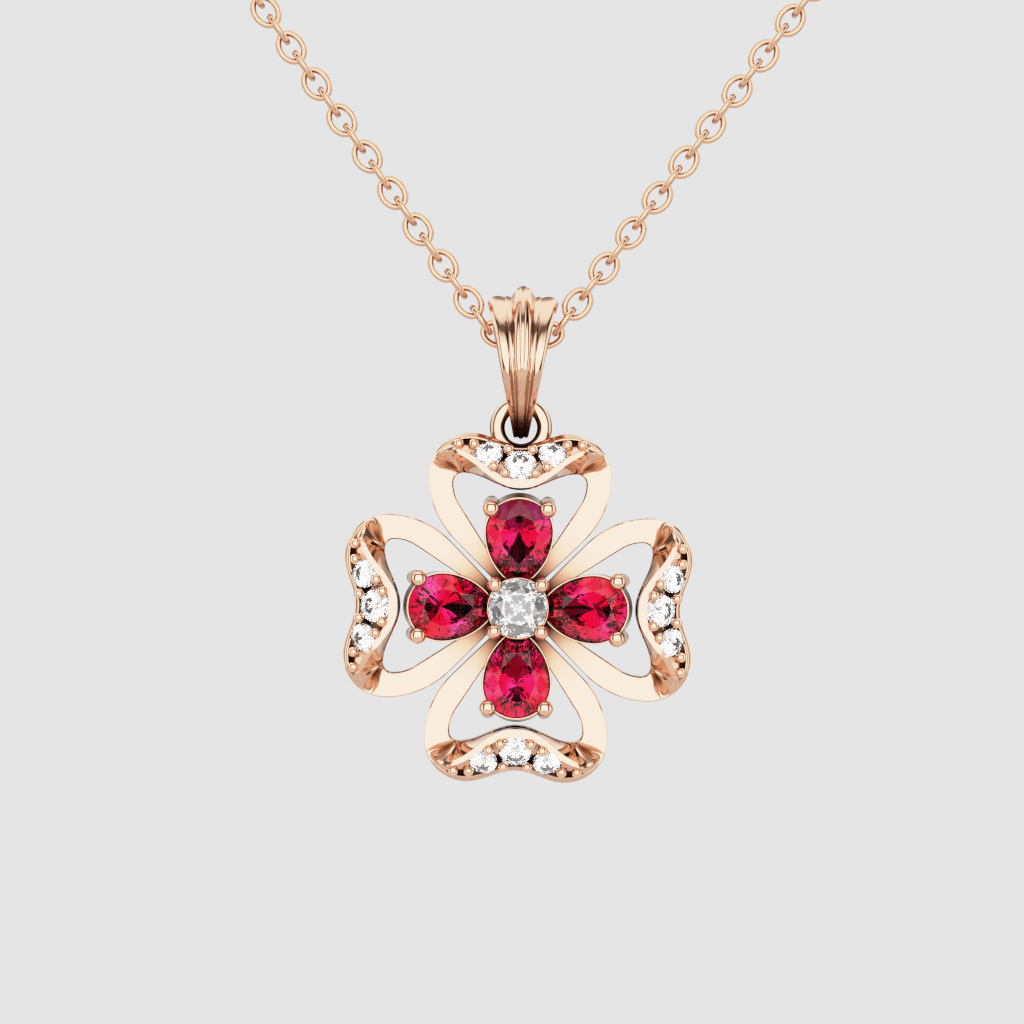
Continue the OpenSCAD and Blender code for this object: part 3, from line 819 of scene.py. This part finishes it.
def bail_shape():
    """The fluted bail: a closed loop of sections, each with ridges outside and a plain inside."""
    outer_r = BAIL_INNER_R + BAIL_WALL
    inner_drop = HINGE_DROP + RING_WIRE / 2 + BAIL_ROOM
    controls = []
    for row in BAIL_ROWS:
        outer_z = row[1] * (outer_r if row[1] >= 0 else BAIL_DROP)
        inner_z = row[3] * (BAIL_INNER_R if row[3] >= 0 else inner_drop)
        controls.append([row[0] * BAIL_BELLY, outer_z, row[2] * (BAIL_BELLY - BAIL_WALL), inner_z])
    mirror = [[-c[0], c[1], -c[2], c[3]] for c in controls[:0:-1]]
    rows = closed_curve(controls + mirror, BAIL_STEPS)
    across = [[-x, depth, ridge] for x, depth, ridge in reversed(BAIL_ACROSS)] + BAIL_ACROSS[1:]
    points = []
    for row in rows:
        outer, inner = np.array(row[:2]), np.array(row[2:])
        height = (outer[1] + BAIL_DROP) / (outer_r + BAIL_DROP)
        width = BAIL_TIP_W + (BAIL_TOP_W - BAIL_TIP_W) * height
        thickness = np.linalg.norm(outer - inner)
        way = (outer - inner) / thickness
        side_flute = min(BAIL_WALL, FLUTE_LIMIT * thickness)
        side_flute *= FLUTE_AT_TIP + (1 - FLUTE_AT_TIP) * width / BAIL_TOP_W
        flute = side_flute * (1 - FLUTE_AT_TOP * smooth_share((height - TOP_START) / TOP_SPAN))
        ridge_h = RIDGE_H * max(RIDGE_END, 1 - RIDGE_FALL * (1 - height))
        wave = FLUTE_WAVE * math.sin(math.pi * height) ** 2
        for x, depth, ridge in across:
            sunk = (side_flute if abs(x) > SIDE_START else flute) * (1 - depth)
            q = outer + way * (ridge_h * ridge - sunk)
            q[1] += wave * math.cos(FLUTES * math.pi * x)
            points.append((x * width, q[0], q[1]))
        for x, depth in BAIL_INNER:
            q = inner + (outer - inner) * depth
            points.append((x * width, q[0], q[1]))
    shape = Shape()
    place = moved(*BAIL_AXIS) @ Matrix.Scale(MM, 4)
    shape.add(points, strip_faces(len(rows), len(across) + len(BAIL_INNER)), place)
    return shape


def chain_route():
    """Points of the chain's right half in millimetres, from the bail's middle to the clasp."""
    bend = math.pi / 2 - V_ANGLE
    start = BAIL_SPAN - BEND_R * math.tan(bend / 2)
    front_y = -TURN_R
    turn_x = NECK_R - TURN_R * math.sin(V_ANGLE)
    turn_z = -TURN_R * math.cos(V_ANGLE)
    chain_z = turn_z - (turn_x - BAIL_SPAN) / math.tan(V_ANGLE)
    points = [(start * i / MIDDLE_STEPS, front_y, chain_z) for i in range(MIDDLE_STEPS + 1)]
    for i in range(1, CORNER_STEPS + 1):
        a = bend * i / CORNER_STEPS
        points.append((start + BEND_R * math.sin(a), front_y, chain_z + BEND_R * (1 - math.cos(a))))
    turn = np.array([turn_x, front_y, turn_z])
    points += [tuple(p) for p in between(np.array(points[-1]), turn, RUN_STEPS)]
    for i in range(1, TURN_STEPS + 1):
        a = math.pi / 2 * i / TURN_STEPS
        points.append((
            turn_x + TURN_R * math.sin(a) * math.sin(V_ANGLE), -TURN_R * math.cos(a),
            turn_z + TURN_R * math.sin(a) * math.cos(V_ANGLE),
        ))
    for i in range(1, ARC_STEPS + 1):
        a = math.acos(CLASP_REACH / NECK_R) * i / ARC_STEPS
        points.append((NECK_R * math.cos(a), NECK_R * math.sin(a), 0))
    return np.array(points)


def link_mesh(steps, sides):
    """One oval wire link: long along X, wide along Y."""
    wire = LINK_WIRE / 2
    long, wide = LINK_LEN / 2 - wire, LINK_W / 2 - wire
    points = []
    for a in round_angles(steps):
        out = Vector((math.cos(a) / long, math.sin(a) / wide, 0)).normalized()
        for b in round_angles(sides):
            ring = out * (wire * math.cos(b))
            points.append((long * math.cos(a) + ring.x, wide * math.sin(a) + ring.y, wire * math.sin(b)))
    return points, strip_faces(steps, sides)


def link_places():
    """Place of each link of the right side: on the route, turned a quarter from its neighbours."""
    route = chain_route()
    gaps = np.linalg.norm(np.diff(route, axis=0), axis=1)
    lengths = np.concatenate([[0], np.cumsum(gaps)])
    count = int((lengths[-1] - FIRST_LINK) / LINK_PITCH) + 1
    up = Vector((0, -1, 0))
    places = []
    for i in range(count):
        s = FIRST_LINK + i * LINK_PITCH
        back, at, on = (
            Vector([np.interp(s + d, lengths, route[:, axis]) for axis in range(3)])
            for d in (-LINK_REACH, 0, LINK_REACH)
        )
        way = (on - back).normalized()
        up = (up - way * up.dot(way)).normalized()
        side = up.cross(way)
        across, normal = (up, side) if i % 2 else (side, up)
        places.append(axes_place(way, across, normal, at))
    return places


def make_chain(material):
    """The chain's links, finer in front. They lie in three pieces, and the first stands for the node."""
    scale = Matrix.Scale(MM, 4)
    fine, plain = link_mesh(*FINE_LINK), link_mesh(*PLAIN_LINK)
    front, right, left = Shape(), Shape(), Shape()
    front.add(*fine, scale @ moved(0, -TURN_R, BAIL_AXIS.z / MM))
    for i, place in enumerate(link_places()):
        for flip, back in ((1, right), (-1, left)):
            at = scale @ Matrix.Diagonal((flip, 1, 1, 1)) @ place
            if i < FRONT_LINKS:
                front.add(*fine, at)
            else:
                back.add(*plain, at)
    links = front.object("chain_links_front", material, "necklace", "chain_gold", crease=60)
    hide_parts("chain")
    right.object("chain_links_right", material, "necklace", "chain_gold", crease=60)
    left.object("chain_links_left", material, "necklace", "chain_gold", crease=60)


class Nodes:
    """A node tree, with short ways to add nodes to it."""

    def __init__(self, tree):
        self.tree = tree

    def feed(self, socket, value):
        """Links a socket to another node's output, or sets it to a constant."""
        if isinstance(value, bpy.types.NodeSocket):
            self.tree.links.new(value, socket)
        else:
            socket.default_value = value

    def add(self, kind, *values, **named):
        """A new node, with its first inputs and its named inputs fed."""
        node = self.tree.nodes.new("ShaderNode" + kind)
        for socket, value in zip(node.inputs, values):
            self.feed(socket, value)
        for name, value in named.items():
            self.feed(node.inputs[name.replace("_", " ")], value)
        return node

    def math(self, operation, *values):
        node = self.add("Math", *values)
        node.operation = operation
        return node.outputs["Value"]

    def vector(self, operation, a, b):
        node = self.add("VectorMath", a, b)
        node.operation = operation
        return node.outputs["Value" if operation == "DISTANCE" else "Vector"]

    def scaled(self, a, share):
        node = self.add("VectorMath", a)
        node.operation = "SCALE"
        self.feed(node.inputs["Scale"], share)
        return node.outputs["Vector"]

    def mixed(self, factor, a, b):
        node = self.add("Mix", factor)
        node.data_type = "RGBA"
        self.feed(node.inputs[6], a)
        self.feed(node.inputs[7], b)
        return node.outputs[2]

    def level(self, value, span, at_low=0, at_high=1):
        """A soft step over a span of the value, from one level to the other."""
        node = self.add("MapRange", value, *span, at_low, at_high)
        node.interpolation_type = "SMOOTHSTEP"
        return node.outputs["Result"]

    def noise(self, scale, detail):
        """Noise in the piece's own space, whose scale is given per metre."""
        place = self.add("TexCoord").outputs["Object"]
        return self.add("TexNoise", place, Scale=scale, Detail=detail).outputs["Fac"]

    def ramp(self, source, stops):
        """A colour ramp over a value. Stops are places and colours."""
        node = self.add("ValToRGB", source)
        elements = node.color_ramp.elements
        while len(elements) < len(stops):
            elements.new(0.5)
        for element, (place, colour) in zip(elements, stops):
            element.position = place
            element.color = (*colour, 1)
        return node.outputs["Color"]


def new_material(name):
    material = bpy.data.materials.new(name)
    material.use_nodes = True
    return material, Nodes(material.node_tree), material.node_tree.nodes["Principled BSDF"].inputs


# Gold: painted shade in its hollows, where its back and its painted slope shade begin, its gloss, and
# its wear and grain
HOLLOW_SAMPLES = 24
DARKEST = 0.06
MIDDLE_SHADE = 0.25
BACK_BLEND = (0, 0.5)
# Where the painted slope shade is full and where it has gone, as the normal's share along the front
STEEP, FLAT = 0.86, 0.925
GLOSS = (0.03, 0.08)
WEAR_SCALE, WEAR_DETAIL = 900, 4
GRAIN_SCALE, GRAIN_DETAIL = 5000, 3
GRAIN_STRENGTH, GRAIN_HEIGHT = 0.01, 0.00001


def gold_material(name, bright, hollow_shade, reach, painted_shade=None, slope_shade=None):
    """Polished rose gold, with painted shade in its hollows: its colour runs darker and redder, down to
    near black, where walls lie close. It has faint wear in its gloss.
    The reach is how far off, in metres, a wall still casts this painted shade. A painted shade towards a
    point darkens
    it further, but not on its back: the point in metres, and pairs of distance in millimetres and share
    of the light.
    A slope shade is painted shade on the faces that turn away from the front and back."""
    material, nodes, shader = new_material(name)
    shader["Metallic"].default_value = 1
    hollow = nodes.add("AmbientOcclusion", Distance=reach)
    hollow.samples = HOLLOW_SAMPLES
    darkest = tuple(c * DARKEST for c in hollow_shade)
    middle = tuple(a * MIDDLE_SHADE + b * (1 - MIDDLE_SHADE) for a, b in zip(hollow_shade, bright))
    stops = [(0.0, darkest), (0.25, hollow_shade), (0.6, middle), (0.85, bright)]
    # Painted shade: the base colour runs from bright gold to the shade colour, and then to near black,
    # as the occlusion node finds walls close by
    colour = nodes.ramp(hollow.outputs["AO"], stops)
    if painted_shade or slope_shade:
        place = nodes.add("TexCoord").outputs
        backwards = nodes.add("SeparateXYZ", place["Normal"]).outputs["Y"]
    # Painted shade: the colour darkens with nearness to the point, except on faces that turn to the back
    if painted_shade:
        point, painted_shade_stops = painted_shade
        far = painted_shade_stops[-1][0]
        share = nodes.math("DIVIDE", nodes.vector("DISTANCE", place["Object"], point), far * MM)
        shade = nodes.ramp(share, [(d / far, (f, f ** 1.2, f ** 1.3)) for d, f in painted_shade_stops])
        lit = nodes.vector("MAXIMUM", shade, nodes.level(backwards, BACK_BLEND))
        colour = nodes.vector("MULTIPLY", colour, lit)
    # Painted shade: faces that turn sideways take the slope shade's darker colour
    if slope_shade:
        stops = [(0.0, slope_shade), (STEEP, slope_shade), (FLAT, (1, 1, 1))]
        colour = nodes.vector("MULTIPLY", colour, nodes.ramp(nodes.math("ABSOLUTE", backwards), stops))
    nodes.feed(shader["Base Color"], colour)
    wear, grain = nodes.noise(WEAR_SCALE, WEAR_DETAIL), nodes.noise(GRAIN_SCALE, GRAIN_DETAIL)
    gloss = nodes.add("MapRange", wear, To_Min=GLOSS[0], To_Max=GLOSS[1])
    nodes.feed(shader["Roughness"], gloss.outputs["Result"])
    bump = nodes.add("Bump", Strength=GRAIN_STRENGTH, Distance=GRAIN_HEIGHT, Height=grain)
    nodes.feed(shader["Normal"], bump.outputs["Normal"])
    return material


def stone_material(name, index, shine, clear, stops, scale):
    """A cut stone whose body colour drifts a little through it."""
    material, nodes, shader = new_material(name)
    shader["Specular Tint"].default_value = (shine, shine, shine, 1)
    shader["Transmission Weight"].default_value = clear
    shader["IOR"].default_value = index
    shader["Roughness"].default_value = 0
    nodes.feed(shader["Base Color"], nodes.ramp(nodes.noise(scale, 1), stops))
    return material


def floor_material():
    material, nodes, shader = new_material("pale_floor")
    stops = [(0.3, (0.70, 0.70, 0.70)), (0.7, (0.74, 0.74, 0.74))]
    nodes.feed(shader["Base Color"], nodes.ramp(nodes.noise(8, 2), stops))
    shader["Roughness"].default_value = 0.9
    return material


SHOULDER = 0.68
SHOULDER_REACH = 0.62
FILM_WHITE = 4.0
FILM_STOPS = [0.34, 0.68, 0.8, 0.95, 1.1, 1.3, 1.6, 2.0, 2.6, 3.2]


def film(light):
    """Film response: straight up to SHOULDER, above it a soft approach to white."""
    if light <= SHOULDER:
        return light
    return SHOULDER + (1 - SHOULDER) * (1 - math.exp((SHOULDER - light) / SHOULDER_REACH))


def set_film(view):
    """Gives the picture the film response, so that bright gold turns cream as in the photograph."""
    view.view_transform = "Standard"
    view.use_curve_mapping = True
    mapping = view.curve_mapping
    mapping.black_level = (0, 0, 0)
    mapping.white_level = (FILM_WHITE, FILM_WHITE, FILM_WHITE)
    curve = mapping.curves[3]
    for light in FILM_STOPS:
        curve.points.new(light / FILM_WHITE, film(light))
    curve.points[len(FILM_STOPS) + 1].location = (1, 1)
    for point in curve.points:
        point.handle_type = "VECTOR"
    mapping.update()


# The light that the film turns into the photograph's backdrop
BACKDROP = 0.783
BACKDROP_LIGHT = SHOULDER - SHOULDER_REACH * math.log(1 - (BACKDROP - SHOULDER) / (1 - SHOULDER))

# The room as a bright metal ball shows it. Places are shares of the ball's radius from its middle, and
# the values are light. One row for what lies above, one for both sides and one for what lies below.
ROOM_ABOVE = [
    (0.0, 1.9), (0.37, 1.9), (0.43, 1.1), (0.47, 0.20), (0.53, 0.20), (0.58, 1.2), (0.64, 1.7),
    (0.79, 1.7), (0.86, 0.6), (0.94, 0.33), (1.0, 0.22),
]
ROOM_ASIDE = [
    (0.0, 1.9), (0.36, 1.9), (0.41, 0.9), (0.45, 0.14), (0.55, 0.14), (0.60, 1.1), (0.65, 1.7),
    (0.76, 1.7), (0.83, 0.6), (0.92, 0.28), (1.0, 0.18),
]
ROOM_BELOW = [
    (0.0, 1.9), (0.33, 1.9), (0.42, 1.35), (0.51, 0.95), (0.58, 0.85), (0.66, 1.2), (0.75, 1.1),
    (0.82, 0.6), (0.92, 0.30), (1.0, 0.20),
]
ROOM_SCALE = 2.0
ABOVE_BLEND = 0.02
BELOW_BLEND = (-0.50, -0.14)
REAR_LIGHT = 0.55
REAR_BLEND = (0.965, 0.985)
# Dark spots at the field's upper corners. Columns: place across, and share of the light that they take.
CORNERS = [(0.42, 0.95), (-0.40, 0.4)]
CORNER_UP = 0.46
CORNER_BLEND = (0.004, 0.022)

# What cut stones see: cells of one of these colours each, with more bright ones in the field's middle
SPARKLE = [
    (0.0, (0.003, 0.003, 0.004)), (0.43, (0.06, 0.064, 0.07)), (0.49, (0.25, 0.26, 0.27)),
    (0.56, (0.46, 0.46, 0.46)), (0.78, (0.35, 0.6, 0.75)), (0.80, (2.1, 2.1, 2.1)),
]
SPARKLE_CELLS = 8
SPARKLE_LIFT = 0.60
SPARKLE_TOP = 0.97
LIFT_BLEND = (0.33, 0.45)
AHEAD_BLEND = (-0.25, 0.25)
BEHIND_SHARE = 0.10


def make_world():
    """Studio light. Metal sees a bright square field in front, a thin dark frame round it, soft panels
    beyond, and a small light straight behind. Cut stones see a broken pattern of light and dark, and
    the camera sees plain pale grey."""
    world = bpy.data.worlds.new("studio")
    bpy.context.scene.world = world
    world.use_nodes = True
    nodes = Nodes(world.node_tree)

    # Each direction's place on the ball's picture, and its distance from the middle of a square field
    place = nodes.add("TexCoord").outputs["Generated"]
    x, y, z = nodes.add("SeparateXYZ", place).outputs
    reach = nodes.math("SQRT", nodes.math("MAXIMUM", nodes.math("MULTIPLY_ADD", y, -2, 2), 0.0001))
    across, up = nodes.math("DIVIDE", x, reach), nodes.math("DIVIDE", z, reach)
    side = nodes.math("ABSOLUTE", across)
    fourths = nodes.math("POWER", side, 4), nodes.math("POWER", nodes.math("ABSOLUTE", up), 4)
    square = nodes.math("POWER", nodes.math("ADD", *fourths), 0.25)

    def room(stops):
        """The room's light over the distance from the middle, warmer where it is dim."""
        tinted = []
        for place, light in stops:
            warm = min(1, light)
            tint = (1, 0.75 + 0.25 * warm, 0.6 + 0.4 * warm)
            tinted.append((place, tuple(light / ROOM_SCALE * c for c in tint)))
        return nodes.ramp(square, tinted)

    above = nodes.level(nodes.math("SUBTRACT", up, side), (-ABOVE_BLEND, ABOVE_BLEND))
    light = nodes.mixed(above, room(ROOM_ASIDE), room(ROOM_ABOVE))
    light = nodes.mixed(nodes.level(up, BELOW_BLEND, 1, 0), light, room(ROOM_BELOW))
    light = nodes.mixed(nodes.level(y, REAR_BLEND), light, (REAR_LIGHT / ROOM_SCALE,) * 3 + (1,))
    for corner, strength in CORNERS:
        aside, over = nodes.math("SUBTRACT", across, corner), nodes.math("SUBTRACT", up, CORNER_UP)
        apart = nodes.math("MULTIPLY_ADD", aside, aside, nodes.math("MULTIPLY", over, over))
        light = nodes.scaled(light, nodes.level(apart, CORNER_BLEND, 1 - strength, 1))
    room_light = nodes.scaled(light, ROOM_SCALE)

    cells = nodes.add("TexVoronoi", place, Scale=SPARKLE_CELLS).outputs["Color"]
    pick = nodes.add("SeparateColor", cells).outputs["Red"]
    lifted = nodes.math("ADD", pick, nodes.level(square, LIFT_BLEND, SPARKLE_LIFT, 0))
    sparkle = nodes.ramp(nodes.math("MINIMUM", lifted, SPARKLE_TOP), SPARKLE)
    sparkle.node.color_ramp.interpolation = "CONSTANT"
    ahead = nodes.level(y, AHEAD_BLEND, 1, BEHIND_SHARE)
    stone_light = nodes.scaled(sparkle, nodes.math("MULTIPLY", ahead, ROOM_SCALE))

    rays = nodes.add("LightPath").outputs
    seen = nodes.mixed(rays["Is Transmission Ray"], room_light, stone_light)
    seen = nodes.mixed(rays["Is Camera Ray"], seen, (BACKDROP_LIGHT,) * 3 + (1,))
    nodes.feed(world.node_tree.nodes["Background"].inputs["Color"], seen)


def make_camera():
    """The photograph's view: the clover's centre at its pixel, at the photograph's scale and roll."""
    data = bpy.data.cameras.new("camera")
    data.lens = LENS
    data.sensor_width = SENSOR
    data.clip_start = 0.001
    data.clip_end = 20
    camera = bpy.data.objects.new("camera", data)
    bpy.context.scene.collection.objects.link(camera)
    bpy.context.scene.camera = camera
    distance = LENS / SENSOR * IMAGE / SCALE_PX * MM
    right = Vector((math.cos(ROLL), 0, math.sin(ROLL)))
    up = Vector((-math.sin(ROLL), 0, math.cos(ROLL)))
    back = Vector((0, -1, 0))
    aside = (CLOVER_PX[0] - IMAGE / 2) / SCALE_PX * MM
    below = (CLOVER_PX[1] - IMAGE / 2) / SCALE_PX * MM
    at = CLOVER + back * distance - right * aside + up * below
    camera.matrix_world = axes_place(right, up, back, at)


FLOOR_R = 0.55
FLOOR_EDGE = 0.005
FLOOR_Z = -0.3


def make_floor():
    profile = [(0, 0), (FLOOR_R, 0), (FLOOR_R + FLOOR_EDGE, -FLOOR_EDGE), (0, -FLOOR_EDGE)]
    points, faces = lathe(profile, ROUND_STEPS)
    mesh = bpy.data.meshes.new("floor")
    mesh.from_pydata(points, [], faces)
    floor = bpy.data.objects.new("floor", mesh)
    floor.location = (0, 0, FLOOR_Z)
    bpy.context.scene.collection.objects.link(floor)
    mesh.materials.append(floor_material())


make_camera()
make_world()
make_floor()

# Colours of the gold and of the painted shade in its hollows. Painted shade towards the clover's centre
# and the bail's tip: distance in millimetres, and share of the light.
ROSE, ROSE_HOLLOW_SHADE = (0.95, 0.585, 0.405), (0.40, 0.235, 0.15)
# The chain and clasp take a darker copy of the rose gold: painted shade
CHAIN_ROSE_SHADED, CHAIN_HOLLOW_SHADE = (0.78, 0.47, 0.31), (0.40, 0.21, 0.12)
# Painted shade on the faces that turn sideways, for most of the gold and for the bail
SLOPE_SHADE, BAIL_SLOPE_SHADE = (0.77, 0.79, 0.81), (0.80, 0.80, 0.81)
BAND_PAINTED_SHADE = [
    (1.55, 0.03), (1.86, 0.09), (2.14, 0.30), (2.42, 0.45), (2.70, 0.60), (3.07, 0.77),
    (3.53, 0.87), (4.4, 1.0),
]
TIP_PAINTED_SHADE = [(0.2, 0.01), (0.7, 0.03), (1.1, 0.16), (1.5, 0.60), (2.0, 1.0)]
bail_tip = BAIL_AXIS - Vector((0, 0, BAIL_DROP * MM))
gold = gold_material("rose_gold", ROSE, ROSE_HOLLOW_SHADE, 0.0012, slope_shade=SLOPE_SHADE)
bead_gold = gold_material("rose_gold_beads", ROSE, ROSE_HOLLOW_SHADE, 0.0004)
band_gold = gold_material("rose_gold_bands", ROSE, ROSE_HOLLOW_SHADE, 0.0008, (CLOVER, BAND_PAINTED_SHADE), SLOPE_SHADE)
bail_gold = gold_material("rose_gold_bail", ROSE, ROSE_HOLLOW_SHADE, 0.0005, (bail_tip, TIP_PAINTED_SHADE), BAIL_SLOPE_SHADE)
chain_gold = gold_material("chain_rose_gold", CHAIN_ROSE_SHADED, CHAIN_HOLLOW_SHADE, 0.0003)

# Drifts of colour through a stone, and the stones' indices of refraction and noise scales
RUBY_DRIFT = [(0.35, (0.25, 0.0003, 0.006)), (0.56, (0.27, 0.001, 0.022)), (0.70, (0.38, 0.02, 0.13))]
WHITE_DRIFT = [(0.35, (0.95, 0.97, 1.0)), (0.65, (1.0, 0.99, 0.97))]
RUBY_INDEX, RUBY_SCALE = 1.77, 700
DIAMOND_INDEX, DIAMOND_SCALE = 2.417, 900
ruby = [
    stone_material(name, RUBY_INDEX, shine, 1, RUBY_DRIFT, RUBY_SCALE)
    for name, shine in (("ruby", 0.5), ("ruby_table", 0.02))
]
diamond, bright_diamond = (
    [stone_material(name, DIAMOND_INDEX, shine, clear, WHITE_DRIFT, DIAMOND_SCALE)] * 2
    for name, shine, clear in (("diamond", 0.8, 0.92), ("bright_diamond", 1, 0.83))
)

petals, beads, collets, prongs = Shape(), Shape(), Shape(), Shape()
for k in range(4):
    petal_shape(petals, petal_place(k))
    bead_shape(beads, petal_place(k))
    collet_shape(collets, petal_place(k))
    prong_shapes(prongs, petal_place(k))
centre_shape(petals, prongs)
centre_rim(collets)
metal = petals.object("petals_and_rims", band_gold, "clover", "rose_gold", crease=20)
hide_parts("clover_frame")
beads.object("rim_beads", bead_gold, "clover", "rose_gold")
collets.object("pear_collets", gold, "clover", "rose_gold")
prongs.object("prongs", bead_gold, "clover", "rose_gold")

ring = Shape()
ring_place = petal_place(0) @ moved(0, 0, RING_V) @ turned(90, "X")
wire = [arc_point((RING_D - RING_WIRE) / 2, 0, RING_WIRE / 2, a) for a in round_angles(WIRE_STEPS)]
ring.add(*lathe(wire, ROUND_STEPS, closed=True), ring_place)
ring.object("top_ring", gold, "clover", "rose_gold")

for k, petal in enumerate(["top", "right", "bottom", "left"]):
    make_stone(
        f"pear_ruby_{petal}", f"ruby_{petal}", PEAR_W, pear_outline,
        petal_place(k) @ pear_place(), ruby, "ruby",
    )
    for spot, (*_, width, _) in ACCENTS.items():
        spin = turned(ACCENT_SPIN[spot] + PETAL_SPIN * k, "Z")
        make_stone(
            f"small_diamond_{petal}_{spot}", f"accent_{petal}_{spot}", width, round_outline(width),
            petal_place(k) @ accent_place(spot) @ spin, diamond, "diamond",
        )
make_stone(
    "round_diamond_centre", "centre_diamond", CENTRE_D, round_outline(CENTRE_D),
    centre_place() @ turned(CENTRE_SPIN, "Z"), bright_diamond, "diamond",
)

bail = bail_shape().object("fluted_bail", bail_gold, "bail", "rose_gold", crease=32)
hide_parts("bail")
make_chain(chain_gold)
clasp = frame["nodes"]["clasp"]
clasp.data.materials.clear()
clasp.data.materials.append(chain_gold)

scene = bpy.context.scene
set_film(scene.view_settings)
scene.cycles.max_bounces = 16
scene.cycles.glossy_bounces = 12
scene.cycles.transmission_bounces = 14
